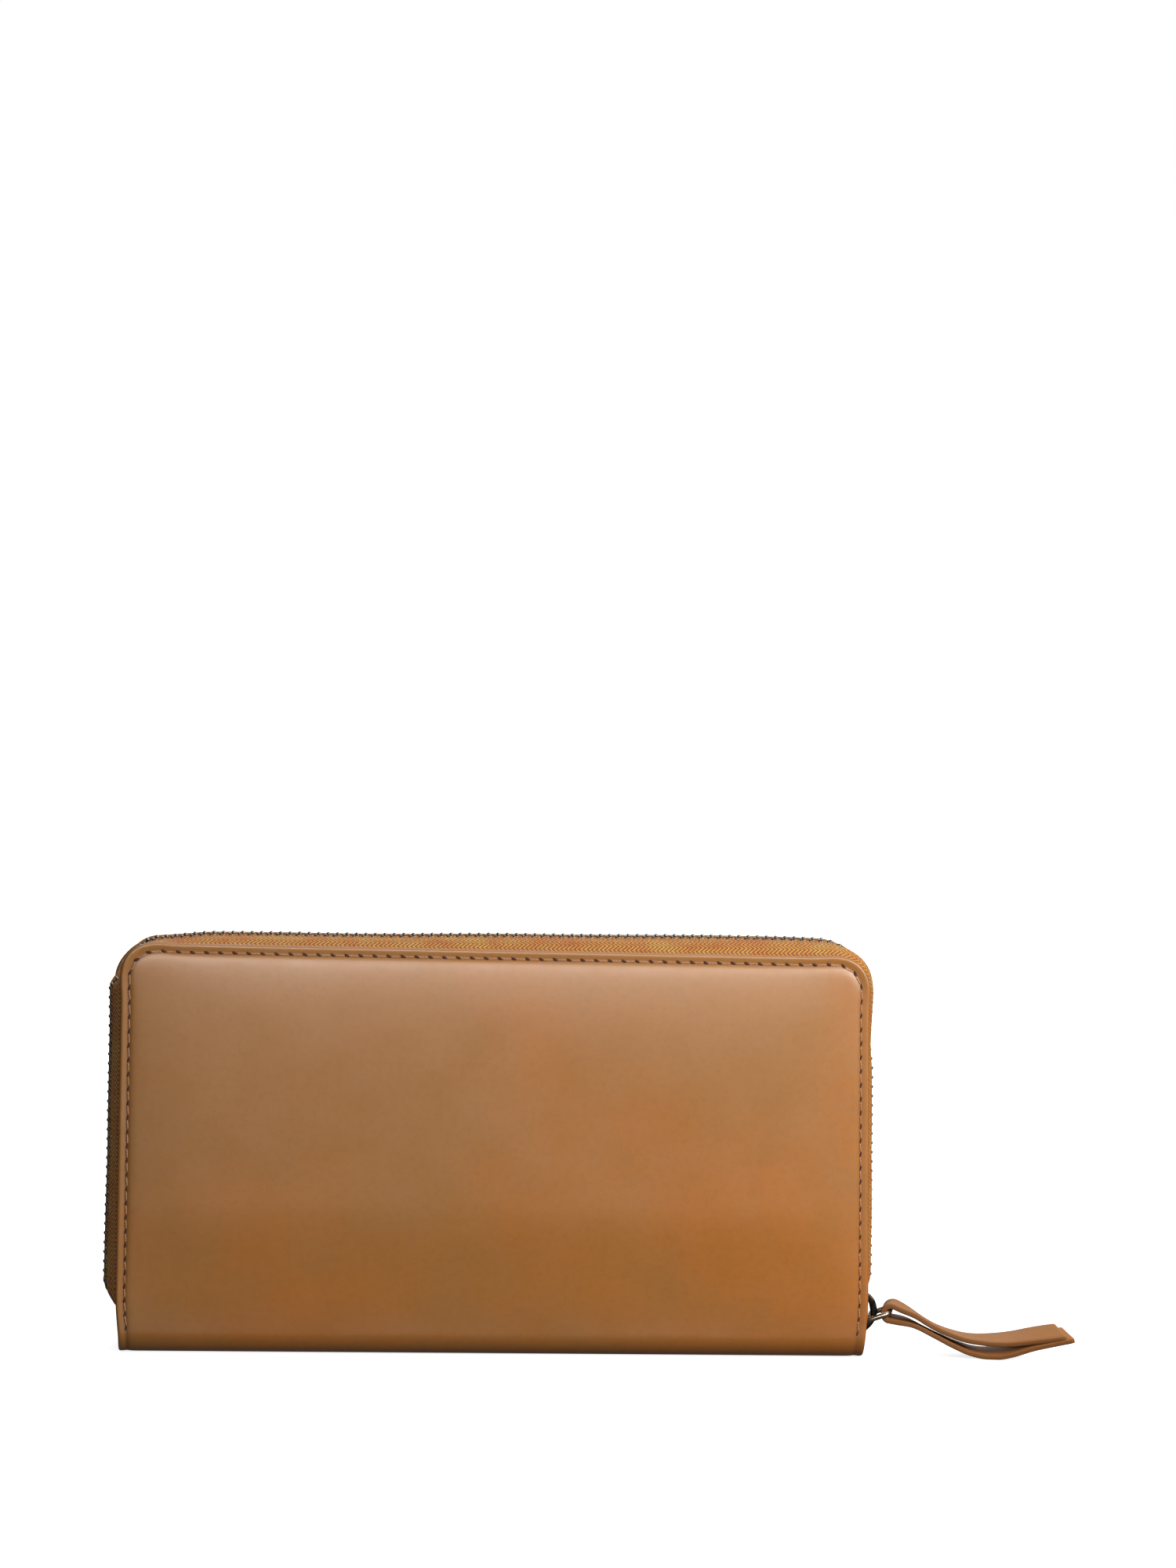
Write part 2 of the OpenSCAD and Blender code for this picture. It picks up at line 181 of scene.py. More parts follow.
def spline(knots, steps):
    """A Catmull-Rom line of tuples through the knots, with this many steps from each to the next."""
    line = []
    for i in range(len(knots) - 1):
        p, q = knots[max(i - 1, 0)], knots[i]
        r, s = knots[i + 1], knots[min(i + 2, len(knots) - 1)]
        for t in (k / steps for k in range(steps)):
            line.append(tuple(
                0.5 * (2 * b + (c - a) * t + (2 * a - 5 * b + 4 * c - d) * t ** 2
                       + (3 * b - a - 3 * c + d) * t ** 3)
                for a, b, c, d in zip(p, q, r, s)))
    return line + [knots[-1]]


def heading_at(line, i):
    """Direction of a line at one of its points, from the first two numbers of the points beside it."""
    before, after = line[max(i - 1, 0)], line[min(i + 1, len(line) - 1)]
    return Vector((after[0] - before[0], after[1] - before[1])).normalized()


def travelled(line):
    """Length along a line of points as far as each of them."""
    lengths = [0.0]
    for a, b in zip(line, line[1:]):
        lengths.append(lengths[-1] + math.dist(a, b))
    return lengths


def ripple(x, z, scale, seed=0.0):
    """Smooth noise between about -1 and 1, for slow unevenness of hand-worked surfaces."""
    return noise.noise(Vector((x / scale, z / scale, seed)))


def make_piece(name, points, faces, uvs=None, shade=None):
    """A mesh object from points in millimetres; uvs and shade hold one value a point."""
    mesh = bpy.data.meshes.new(name)
    mesh.from_pydata([tuple(c * MM for c in p) for p in points], [], faces)
    mesh.update()
    layer = mesh.uv_layers.new(name="surface")
    if uvs is not None:
        for loop in mesh.loops:
            layer.data[loop.index].uv = uvs[loop.vertex_index]
    mark = mesh.attributes.new("shade", "FLOAT", "POINT")
    if shade is not None:
        mark.data.foreach_set("value", shade)
    mesh.polygons.foreach_set("use_smooth", [True] * len(mesh.polygons))
    piece = bpy.data.objects.new(name, mesh)
    bpy.context.collection.objects.link(piece)
    return piece


def grid_faces(rows, columns, wrap=False):
    """Quads of a grid of points listed row by row; wrap joins its last column to its first."""
    faces = []
    for r in range(rows - 1):
        for c in range(columns if wrap else columns - 1):
            d = (c + 1) % columns
            low, high = r * columns, (r + 1) * columns
            faces.append((low + c, low + d, high + d, high + c))
    return faces


def end_caps(count, total):
    """Faces over the first and the last ring of a closed solid, whose rings have count points each."""
    return [tuple(range(count - 1, -1, -1)), tuple(range(total - count, total))]


def apply_modifier(piece, kind, **settings):
    """Adds a modifier and keeps its result as the mesh."""
    modifier = piece.modifiers.new(kind.lower(), kind)
    for key, value in settings.items():
        setattr(modifier, key, value)
    graph = bpy.context.evaluated_depsgraph_get()
    mesh = bpy.data.meshes.new_from_object(piece.evaluated_get(graph), depsgraph=graph)
    piece.modifiers.clear()
    piece.data = mesh


def grid_piece(name, lines, flip, refine=False, thickness=0.0, offset=0.0):
    """A sheet from lines of (point, UV, shade) spots. Lines are made for the back's outside; a mirror
    image of that needs flip, so that its faces look the right way."""
    points, uvs, shade = zip(*(spot for line in lines for spot in line))
    piece = make_piece(name, points, grid_faces(len(lines), len(lines[0])), uvs, shade)
    if flip:
        piece.data.flip_normals()
    if refine:
        apply_modifier(piece, "SUBSURF", levels=1, render_levels=1)
    if thickness:
        apply_modifier(piece, "SOLIDIFY", thickness=thickness * MM, offset=offset)
    return piece


def dress(piece, look, nodes=(), body=None):
    """Gives a piece its material, the CAD nodes it stands for and the body it rides on."""
    material, slot = LOOKS[look]
    piece.data.materials.clear()
    piece.data.materials.append(material)
    if nodes:
        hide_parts(*nodes)
    if body:
        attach(piece, body)


class Shape:
    """Points, faces, UVs and shade of a piece that is put together from several closed parts."""

    def __init__(self):
        self.points, self.faces, self.uvs, self.shade = [], [], [], []

    def add(self, points, faces, uvs=None, shade=None):
        start = len(self.points)
        self.points += points
        self.faces += [tuple(start + v for v in face) for face in faces]
        self.uvs += uvs or [(p[0], p[2]) for p in points]
        self.shade += shade or [0.0] * len(points)

    def piece(self, name, look, nodes=(), body=None):
        """Makes the piece, with its faces turned to the outside, and dresses it."""
        piece = make_piece(name, self.points, self.faces, self.uvs, self.shade)
        work = bmesh.new()
        work.from_mesh(piece.data)
        bmesh.ops.recalc_face_normals(work, faces=work.faces)
        work.to_mesh(piece.data)
        work.free()
        dress(piece, look, nodes, body)


def tube(path, rings, closed=False):
    """Sweeps cross-sections along a path. rings(i) gives the section's (across, up) points, and path
    holds (place, across, up) triples. Returns points, faces and UVs."""
    points, uvs = [], []
    reached = travelled([place for place, _, _ in path])
    for i, (place, across, up) in enumerate(path):
        section = rings(i)
        points += [place + across * a + up * b for a, b in section]
        uvs += [(reached[i], girth) for girth in travelled(section)]
    count = len(section)
    faces = grid_faces(len(path), count, wrap=True)
    if closed:
        last = (len(path) - 1) * count
        faces += [(last + j, last + (j + 1) % count, (j + 1) % count, j) for j in range(count)]
    else:
        faces += end_caps(count, len(points))
    return points, faces, uvs


def circle_section(radius, sides):
    turns = [2 * math.pi * j / sides for j in range(sides)]
    return [(radius * math.cos(turn), radius * math.sin(turn)) for turn in turns]


def round_bar(half_a, half_b, radius, steps=3):
    """A rectangle's outline with rounded corners."""
    section = []
    for corner in range(4):
        centre_a = (half_a - radius) * (1 if corner in (0, 3) else -1)
        centre_b = (half_b - radius) * (1 if corner in (0, 1) else -1)
        for s in range(steps + 1):
            turn = math.pi / 2 * (corner + s / steps)
            section.append((centre_a + radius * math.cos(turn), centre_b + radius * math.sin(turn)))
    return section


def ellipsoid(centre, long_axis, wide_axis, out_axis, sizes, rings=6, sides=12):
    """A closed egg; sizes are its half lengths along the three axes."""
    points, uvs = [], []
    for i in range(1, rings):
        polar = math.pi * i / rings
        for j in range(sides):
            turn = 2 * math.pi * j / sides
            a = sizes[0] * math.cos(polar)
            b = sizes[1] * math.sin(polar) * math.cos(turn)
            c = sizes[2] * math.sin(polar) * math.sin(turn)
            points.append(centre + long_axis * a + wide_axis * b + out_axis * c)
            uvs.append((a, turn / (2 * math.pi)))
    faces = grid_faces(rings - 1, sides, wrap=True)
    for pole, ring_start in ((1, 0), (-1, (rings - 2) * sides)):
        tip = len(points)
        points.append(centre + long_axis * sizes[0] * pole)
        uvs.append((sizes[0] * pole, 0.0))
        for j in range(sides):
            edge = (ring_start + j, ring_start + (j + 1) % sides)
            faces.append((tip, *edge[::-pole]))
    return points, faces, uvs


# ---------- materials ----------

class Look:
    """A material whose nodes are added one at a time."""

    def __init__(self, name, coords="surface"):
        self.material = bpy.data.materials.new(name)
        self.material.use_nodes = True
        self.tree = self.material.node_tree
        self.shader = self.tree.nodes["Principled BSDF"]
        if coords == "surface":
            self.coords = self.node("UVMap", uv_map="surface").outputs["UV"]
        else:
            scaled = self.node("Mapping", {"Vector": self.node("TexCoord").outputs["Object"]})
            scaled.inputs["Scale"].default_value = (1 / MM, 1 / MM, 1 / MM)
            self.coords = scaled.outputs["Vector"]

    def put(self, socket, value):
        if isinstance(value, bpy.types.NodeSocket):
            self.tree.links.new(value, socket)
        elif isinstance(value, tuple) and len(value) == 3 and socket.type == "RGBA":
            socket.default_value = (*value, 1)
        else:
            socket.default_value = value

    def node(self, kind, inputs=(), **settings):
        node = self.tree.nodes.new("ShaderNode" + kind)
        for key, value in settings.items():
            setattr(node, key, value)
        for key, value in dict(inputs).items():
            self.put(node.inputs[key], value)
        return node

    def set(self, **values):
        """Sets the shader's sockets; an underscore in a name stands for a space."""
        for key, value in values.items():
            self.put(self.shader.inputs[key.replace("_", " ")], value)

    def split(self):
        """The X, Y and Z of the coordinates."""
        return self.node("SeparateXYZ", {"Vector": self.coords}).outputs

    def maths(self, operation, *values):
        return self.node("Math", enumerate(values), operation=operation).outputs[0]

    def ramp(self, value, low, high, top=1.0, bottom=0.0):
        inputs = {"Value": value, "From Min": low, "From Max": high, "To Min": bottom, "To Max": top}
        return self.node("MapRange", inputs).outputs["Result"]

    def mix(self, factor, first, second):
        return self.node("Mix", {0: factor, 6: first, 7: second}, data_type="RGBA").outputs[2]

    def noise(self, scale, detail, roughness):
        inputs = {"Vector": self.coords, "Scale": scale, "Detail": detail, "Roughness": roughness}
        return self.node("TexNoise", inputs).outputs["Fac"]

    def shade(self):
        return self.node("Attribute", attribute_name="shade", attribute_type="GEOMETRY").outputs["Fac"]

    def bump(self, height, distance):
        inputs = {"Height": height, "Distance": distance * MM, "Strength": 1.0}
        self.set(Normal=self.node("Bump", inputs).outputs["Normal"])


def leather_look(name, colour, warm, cool, dark, roughness=0.32, coat=0.35):
    """Smooth waxed leather: clouded colour, fine pores and creases. The shade attribute darkens it: burnished
    edges, and painted shade where a piece marks grooves and folds.
    """
    look = Look(name)
    cloud = look.noise(0.016, 3.0, 0.5)
    drift = look.noise(0.05, 3.0, 0.55)
    mottle = look.noise(0.5, 5.0, 0.65)
    fleck = look.noise(4.0, 3.0, 0.7)
    x, y, _ = look.split()
    slope = look.maths("SUBTRACT", look.maths("MULTIPLY", x, 0.0016), look.maths("MULTIPLY", y, 0.002))
    tone = look.mix(look.ramp(look.maths("ADD", cloud, slope), 0.3, 0.56), colour, warm)
    tone = look.mix(look.ramp(drift, 0.5, 0.75, 0.5), tone, cool)
    tone = look.mix(look.ramp(mottle, 0.45, 0.8, 0.16), tone, dark)
    tone = look.mix(look.ramp(fleck, 0.56, 0.8, 0.08), tone, dark)
    # Darkening by the shade attribute: burnished edges, and painted shade in grooves and folds
    tone = look.mix(look.ramp(look.shade(), 0.0, 1.0, 0.85), tone, dark)
    polish = look.ramp(look.noise(0.09, 4.0, 0.6), 0.3, 0.7)
    look.set(Base_Color=tone, Roughness=look.maths("MULTIPLY_ADD", polish, 0.09, roughness))
    pores = look.node("TexVoronoi", {"Vector": look.coords, "Scale": 2.4, "Smoothness": 0.5},
                      feature="SMOOTH_F1").outputs["Distance"]
    creases = look.noise(0.9, 6.0, 0.6)
    look.bump(look.maths("ADD", look.maths("MULTIPLY", pores, 0.5), creases), 0.014)
    look.set(Specular_IOR_Level=0.35 + 0.7 * coat, Coat_Weight=coat, Coat_Roughness=0.36)
    return look.material


def herringbone_look(name, light, orange, dark):
    """Twill tape whose ribs turn back at each column."""
    rib, column = 1.15, 1.5
    look = Look(name)
    x, y, _ = look.split()
    zigzag = look.maths("PINGPONG", y, column)
    phase = look.maths("DIVIDE", look.maths("ADD", x, zigzag), rib)
    ridge = look.maths("MULTIPLY", look.maths("PINGPONG", phase, 0.5), 2.0)
    yarn = look.noise(3.0, 4.0, 0.65)
    patch = look.noise(0.12, 3.0, 0.6)
    tone = look.mix(look.ramp(patch, 0.35, 0.68), light, orange)
    tone = look.mix(look.ramp(look.maths("SUBTRACT", 1.0, ridge), 0.25, 0.95, 0.85), tone, dark)
    tone = look.mix(look.ramp(yarn, 0.42, 0.8, 0.4), tone, dark)
    tone = look.mix(look.ramp(look.shade(), 0.0, 1.0, 0.9), tone, tuple(c * 0.3 for c in dark))
    look.set(Base_Color=tone, Roughness=0.85)
    look.bump(look.maths("ADD", ridge, look.maths("MULTIPLY", yarn, 0.5)), 0.25)
    return look.material


def woven_look(name, colour, dark, thread=0.4, depth=0.07, coords="surface"):
    """Plain weave cloth."""
    look = Look(name, coords)
    x, y, z = look.split()
    warp = look.maths("PINGPONG", look.maths("DIVIDE", x, thread), 1.0)
    weft = look.maths("PINGPONG", look.maths("DIVIDE", y if coords == "surface" else z, thread), 1.0)
    weave = look.maths("ABSOLUTE", look.maths("SUBTRACT", warp, weft))
    blot = look.noise(0.05, 4.0, 0.6)
    slub = look.noise(1.5, 3.0, 0.6)
    tone = look.mix(look.ramp(weave, 0.0, 0.9), dark, colour)
    tone = look.mix(look.ramp(blot, 0.35, 0.75, 0.4), tone, dark)
    tone = look.mix(look.ramp(slub, 0.5, 0.8, 0.3), tone, colour)
    tone = look.mix(look.ramp(look.shade(), 0.0, 1.0, 0.8), tone, dark)
    look.set(Base_Color=tone, Roughness=0.78, Sheen_Weight=0.2)
    look.bump(weave, depth)
    return look.material


def metal_look(name, colour, bright, roughness=0.34, wear=0.5):
    """Plated metal, rubbed brighter in patches and finely scratched."""
    look = Look(name, "object")
    patch = look.noise(0.5, 4.0, 0.65)
    scratch = look.noise(3.5, 5.0, 0.7)
    rubbed = look.ramp(look.node("NewGeometry").outputs["Pointiness"], 0.52, 0.6, wear)
    tone = look.mix(look.ramp(patch, 0.48, 0.7, 0.6), colour, bright)
    look.set(Base_Color=look.mix(rubbed, tone, bright), Metallic=1.0)
    look.set(Roughness=look.ramp(scratch, 0.2, 0.8, roughness + 0.14, roughness - 0.08))
    look.bump(scratch, 0.015)
    return look.material


def thread_look(name, colour, dark):
    """Waxed thread with its plies twisted along it; U runs along the thread."""
    look = Look(name)
    x, y, _ = look.split()
    ply = look.maths("PINGPONG", look.maths("ADD", look.maths("MULTIPLY", x, 1.6), y), 0.5)
    fibre = look.noise(6.0, 3.0, 0.6)
    tone = look.mix(look.ramp(ply, 0.05, 0.4), dark, colour)
    tone = look.mix(look.ramp(fibre, 0.45, 0.8, 0.4), tone, dark)
    look.set(Base_Color=tone, Roughness=0.5)
    look.bump(ply, 0.12)
    return look.material


def hole_shade_look(name, colour):
    """Dark, slightly frayed pit of a needle hole; its dark colour is painted shade inside the hole."""
    look = Look(name, "object")
    fray = look.noise(2.5, 3.0, 0.6)
    look.set(Base_Color=look.mix(fray, colour, tuple(c * 2.2 for c in colour)), Roughness=0.9)
    look.bump(fray, 0.05)
    return look.material


def paint_look(name, colour):
    """Matt paint for the studio floor, very slightly uneven, that glows up to white far away."""
    look = Look(name, "object")
    uneven = look.noise(0.01, 2.0, 0.5)
    look.set(Base_Color=look.mix(uneven, colour, tuple(c * 0.985 for c in colour)), Roughness=0.9)
    away = look.node("VectorMath", {"Vector": look.coords}, operation="LENGTH").outputs["Value"]
    look.set(Emission_Color=(1, 1, 1), Emission_Strength=look.ramp(away, 250, 1200, 1.0, 0.78))
    return look.material


TAN = srgb(170, 113, 50)
TAN_WARM = srgb(184, 112, 40)
TAN_COOL = srgb(164, 113, 56)
TAN_DARK = srgb(92, 50, 20)

# Each look's material, and the slot of the record that it stands for
LOOKS = {
    "leather": (leather_look("tan_leather", TAN, TAN_WARM, TAN_COOL, TAN_DARK), "outer_leather"),
    "strap": (leather_look("strap_leather", srgb(148, 98, 46), srgb(156, 98, 40), srgb(142, 96, 48),
                           srgb(98, 56, 26), roughness=0.72, coat=0.0), "outer_leather"),
    "slots": (leather_look("slot_leather", srgb(158, 108, 66), srgb(168, 112, 60), srgb(150, 106, 70),
                           srgb(80, 44, 20), roughness=0.46), "slot_leather"),
    "tape": (herringbone_look("zip_twill", srgb(222, 170, 84), srgb(212, 124, 54), srgb(116, 60, 22)),
             "zip_tape"),
    "lining": (woven_look("brown_lining", srgb(118, 84, 58), srgb(70, 46, 30)), "lining"),
    "pocket": (woven_look("pocket_cloth", srgb(140, 100, 66), srgb(86, 56, 34), thread=0.3), "lining"),
    "teeth": (metal_look("antique_teeth", srgb(62, 56, 50), srgb(128, 118, 106)), "zip_metal"),
    "slider": (metal_look("black_slider", srgb(40, 37, 35), srgb(104, 98, 92), roughness=0.3), "zip_metal"),
    "ring": (metal_look("bronze_ring", srgb(150, 134, 118), srgb(214, 200, 184), roughness=0.26, wear=0.8),
             "ring_metal"),
    "thread": (thread_look("tan_thread", srgb(206, 152, 100), srgb(136, 84, 44)), "thread"),
    "hole": (hole_shade_look("stitch_hole_painted_shade", srgb(58, 28, 10)), "outer_leather"),
    "board": (woven_look("fibre_board", srgb(150, 142, 130), srgb(112, 104, 92), thread=0.9, depth=0.02,
                         coords="object"), "board"),
}


# ---------- studio ----------

PICTURE_HIGH = 2000
PICTURE_PER_MM = 4.975
CAMERA_DISTANCE = 3.0
AZIMUTH = math.radians(-7.5)
ELEVATION = math.radians(7)
ROLL = math.radians(1.7)
# Where the camera aims: to the right of the wallet's middle, and well above it
AIM_RIGHT = 21.4
AIM_UP = 149.1
WHITE = (1, 1, 1, 1)
ROOM_LIGHT = 0.085
FLOOR_HALF = 4000


def add_camera():
    data = bpy.data.cameras.new("camera")
    data.sensor_width = 36
    data.lens = PICTURE_PER_MM / MM * CAMERA_DISTANCE * data.sensor_width / PICTURE_HIGH
    data.clip_end = 50
    camera = bpy.data.objects.new("camera", data)
    back = Vector((
        math.sin(AZIMUTH) * math.cos(ELEVATION),
        -math.cos(AZIMUTH) * math.cos(ELEVATION),
        math.sin(ELEVATION),
    ))
    aim = Vector((AIM_RIGHT * MM, -HALF_T * MM, AIM_UP * MM))
    turn = (-back).to_track_quat("-Z", "Y").to_matrix() @ Matrix.Rotation(ROLL, 3, "Z")
    camera.rotation_mode = "QUATERNION"
    camera.rotation_quaternion = turn.to_quaternion()
    camera.location = aim + back * CAMERA_DISTANCE
    bpy.context.collection.objects.link(camera)
    bpy.context.scene.camera = camera


def add_light(name, place, size, watts, colour=(1, 1, 1), sheen_only=False):
    """An area light in metres, aimed at the middle of the wallet."""
    data = bpy.data.lights.new(name, "AREA")
    data.shape = "RECTANGLE"
    data.size, data.size_y = size
    data.energy = watts
    data.color = colour
    light = bpy.data.objects.new(name, data)
    light.location = place
    light.rotation_mode = "QUATERNION"
    light.rotation_quaternion = (Vector((0, 0, 0.05)) - Vector(place)).to_track_quat("-Z", "Y")
    light.visible_diffuse = not sheen_only
    bpy.context.collection.objects.link(light)


def add_studio():
    """A dim white room with lights, which the camera sees as plain white, and a floor."""
    scene = bpy.context.scene
    scene.view_settings.view_transform = "Standard"
    world = bpy.data.worlds.new("studio")
    scene.world = world
    world.use_nodes = True
    tree = world.node_tree
    room = tree.nodes["Background"]
    backdrop = tree.nodes.new("ShaderNodeBackground")
    for background, strength in ((room, ROOM_LIGHT), (backdrop, 1.0)):
        background.inputs["Color"].default_value = WHITE
        background.inputs["Strength"].default_value = strength
    switch = tree.nodes.new("ShaderNodeMixShader")
    tree.links.new(tree.nodes.new("ShaderNodeLightPath").outputs["Is Camera Ray"], switch.inputs[0])
    tree.links.new(room.outputs[0], switch.inputs[1])
    tree.links.new(backdrop.outputs[0], switch.inputs[2])
    tree.links.new(switch.outputs[0], tree.nodes["World Output"].inputs["Surface"])
    add_light("key", (0.36, -0.32, 0.25), (0.26, 0.26), 2.1, colour=(1, 0.985, 0.96))
    add_light("strip", (0.1, -1.0, 0.38), (0.9, 0.32), 3.1)
    add_light("haze", (-0.05, -1.0, 0.4), (1.1, 0.3), 4.5, sheen_only=True)
    add_light("overhead", (0.0, 0.15, 1.3), (1.6, 1.2), 10.0)
    add_light("rear", (0.3, 1.3, 0.7), (1.2, 0.7), 9.0)
    corners = [(-1, -1), (1, -1), (1, 1), (-1, 1)]
    floor = make_piece("floor", [(x * FLOOR_HALF, y * FLOOR_HALF, 0) for x, y in corners], [(0, 1, 2, 3)])
    floor.data.materials.append(paint_look("floor_paint", (0.6, 0.6, 0.6)))
    floor.visible_diffuse = floor.visible_glossy = False


# ---------- covers ----------

# Distances in from the cover's edge at which its outer face has a line of points
FACE_STEPS = [0.0, 0.1, 0.28, 0.5, 0.85, 1.2, 1.5, 1.75, 1.95, 2.1, 2.3, 2.6, 3.0, 3.6, 4.6, 6.2, 8.3,
              CORNER_R]
# The turned edge behind them: distance in, and how far behind the edge's crest
EDGE_STEPS = [(6.0, 1.34), (3.0, 1.34), (0.9, 1.33), (0.35, 1.28), (0.08, 1.1), (0.0, 0.75), (-0.02, 0.4)]
FLAT_STEPS = 8
FOLD_STEPS = 18
CLIMB_STEPS = 44
INNER_COLUMNS = 64


def flare(x, z):
    """How far a cover's side stands outside its even width at a height, on the side where x is."""
    left, right = -0.8 * (1 - z / HEIGHT), 1.5 * (1 - 2 * z / HEIGHT)
    return lerp(left, right, between(x, -HALF_W, HALF_W)) - 1.0 * (1 - smoothstep(z / 15))


def flared(x, z):
    return x * (1 + flare(x, z) / HALF_W)


def placed(x, z, side, depth=HALF_T):
    """Where a point of a cover's even outline really is: its sides flare, the front's top is high at the
    left, the back's top corners are rounder, and both covers are narrow low down at the left."""
    skew = TOP_SKEW * (0.5 - x / (2 * HALF_W)) * between(z, 30, HEIGHT) if side < 0 else 0.0
    corner = between(abs(x), 83, 97) * between(z, 90, 104)
    raised = corner * (1.1 if side < 0 else -0.8)
    widened = 1.1 * corner if side < 0 else -0.5 * between(abs(x), 85, 97) * between(z, 84, 96)
    tuck = 2.6 * between(-x, 60, HALF_W) * (1 - between(z, 3, 24))
    if side < 0:
        tuck *= 1 - between(depth, -4, HALF_T)
    return flared(x, z) + math.copysign(1, x) * widened + tuck, z + skew + raised


def face_depth(inset):
    """Depth of the leather's outer face at a distance in from the cover's edge."""
    if inset < CREST_INSET:
        return EDGE_DEPTH + EDGE_CREST - 0.45 * (1 - inset / CREST_INSET) ** 2
    if inset < STITCH_INSET:
        return EDGE_DEPTH + EDGE_CREST - (EDGE_CREST + GROOVE) * between(inset, CREST_INSET, STITCH_INSET)
    past = inset - STITCH_INSET
    return EDGE_DEPTH - GROOVE + LIP * (1 - math.exp(-past / LIP_REACH))


def face_rings():
    """(inset, depth) from behind the turned edge, round it and in over the face."""
    turned = [(inset, EDGE_DEPTH + EDGE_CREST - behind) for inset, behind in EDGE_STEPS]
    return turned + [(inset, face_depth(inset)) for inset in FACE_STEPS]


def fold_section():
    """The outside of the spine and of one fold in section: (depth, height, turn)."""
    flat = [(FOLD_DEPTH * t / FLAT_STEPS, 0.0, 0.0) for t in range(FLAT_STEPS)]
    arc = []
    for i in range(FOLD_STEPS + 1):
        turn = math.pi / 2 * i / FOLD_STEPS
        arc.append((FOLD_DEPTH + FOLD_R * math.sin(turn), FOLD_R - FOLD_R * math.cos(turn), turn))
    return flat + arc


def puff(x, z, depth):
    """Depth with the padding's dome over the face, which dies away towards the edges and the fold."""
    from_side = 1 - math.exp(-max(HALF_W - abs(x), 0) / DOME_REACH)
    from_top = 1 - math.exp(-max(HEIGHT - z, 0) / DOME_REACH)
    inset = min(HALF_W - abs(x), HEIGHT - z, z + 6)
    dome = DOME * from_side * from_top * between(z, FOLD_R, 40)
    return depth + dome + 0.22 * between(inset, 4, 24) * ripple(x, z, 34)


def cover_mesh(side_name):
    """The outer leather of one side: the padded cover, its turned edge, the fold and half the spine."""
    side = SIDES[side_name]
    ring = face_rings()
    reach = len(ring) - 1
    across = [-ARC_X + 2 * ARC_X * (i + 1) / (INNER_COLUMNS + 1) for i in range(INNER_COLUMNS)]
    columns = 2 * (reach + 1) + INNER_COLUMNS
    climb = [(HALF_T, z, math.pi / 2) for z in spaced(FOLD_R, ARC_Z, CLIMB_STEPS)[1:]]
    upward = fold_section() + climb
    walked = travelled([place[:2] for place in upward])
    below = len(upward)
    rows = below + reach
    lines = []
    for r in range(rows):
        lines.append([])
        from_top = rows - 1 - r
        for c in range(columns):
            sign = -1 if c <= reach else 1
            k = min(c, columns - 1 - c)
            edge_column = k <= reach
            if r < below:
                path_depth, height, turn = upward[r]
                inset, depth = ring[k] if edge_column else (HALF_W - abs(across[c - reach - 1]), 0)
                x = sign * (HALF_W - inset) if edge_column else across[c - reach - 1]
                if not edge_column:
                    depth = face_depth(inset)
                out = depth - HALF_T
                if edge_column and k < len(EDGE_STEPS):
                    out = min(out, -0.05)
                else:
                    out *= between(height, 0.0, 34) if out > 0 else 0.35 + 0.65 * between(height, 0.5, 9)
                y = path_depth + out * math.sin(turn)
                z = height - out * math.cos(turn)
                if height > FOLD_R and not (edge_column and k < len(EDGE_STEPS)):
                    y = puff(x, z, y)
                x, z = placed(x, height, side, y)[0], placed(x, z, side)[1]
                uv = (x, walked[r])
            else:
                if edge_column:
                    a, b = reach - k, reach - from_top
                    inset, depth = ring[reach - max(a, b)]
                    turn = 0.0
                    if max(a, b):
                        turn = math.pi / 4 * b / a if a >= b else math.pi / 2 - math.pi / 4 * a / b
                    x = sign * (ARC_X + (CORNER_R - inset) * math.cos(turn))
                    z = ARC_Z + (CORNER_R - inset) * math.sin(turn)
                else:
                    inset, depth = ring[from_top]
                    x, z = across[c - reach - 1], HEIGHT - inset
                uv = (x, walked[-1] + z - ARC_Z)
                y = puff(x, z, depth) if ring.index((inset, depth)) >= len(EDGE_STEPS) else depth
                x, z = placed(x, z, side)
            # shade: darker at the leather's cut edge, with painted shade in the stitch groove and low down
            # towards the fold
            worn = 1.0 - between(inset, 0.0, 0.22)
            low = 1 - between(z, 0, 20)
            shade = min(1.0, 0.35 * bell(inset, STITCH_INSET, 0.55) + 0.5 * worn + 0.34 * low)
            lines[-1].append(((x, side * y, max(z, 0.02)), uv, shade))
    return grid_piece(side_name + "_cover_leather", lines, side > 0, refine=True)


def fold_blend(piece):
    """Bakes a sheet's placement into its mesh."""
    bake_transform(piece)


def add_covers():
    for side_name in SIDES:
        cover = cover_mesh(side_name)
        nodes = [side_name + "_leather"] + (["spine_leather"] if side_name == "front" else [])
        dress(cover, "leather", nodes)
        fold_blend(cover)


# ---------- edge stitching ----------

def route(distance, run, radius, lean=0.0):
    """Where a line is that goes up the left for run, round the corners at radius and down the right: the
    point that it lies outside of, and the angle outwards."""
    quarter = radius * math.pi / 2
    if distance < run:
        return -ARC_X, ARC_Z - run + distance, math.pi
    distance -= run
    if distance < quarter:
        return -ARC_X, ARC_Z, math.pi - distance / radius
    distance -= quarter
    if distance < 2 * ARC_X:
        return -ARC_X + distance, ARC_Z, math.pi / 2
    distance -= 2 * ARC_X
    if distance < quarter + radius * lean:
        return ARC_X, ARC_Z, math.pi / 2 - distance / radius
    distance -= quarter + radius * lean
    return ARC_X - distance * math.sin(lean), ARC_Z - distance * math.cos(lean), -lean


def stitch_path(distance):
    """A place along the stitched groove, and the direction of the seam there: (x, z, along x, along z)."""
    x, z, angle = route(distance, ARC_Z - STITCH_BOTTOM, STITCH_R)
    sine, cosine = math.sin(angle), math.cos(angle)
    return x + STITCH_R * cosine, z + STITCH_R * sine, sine, -cosine


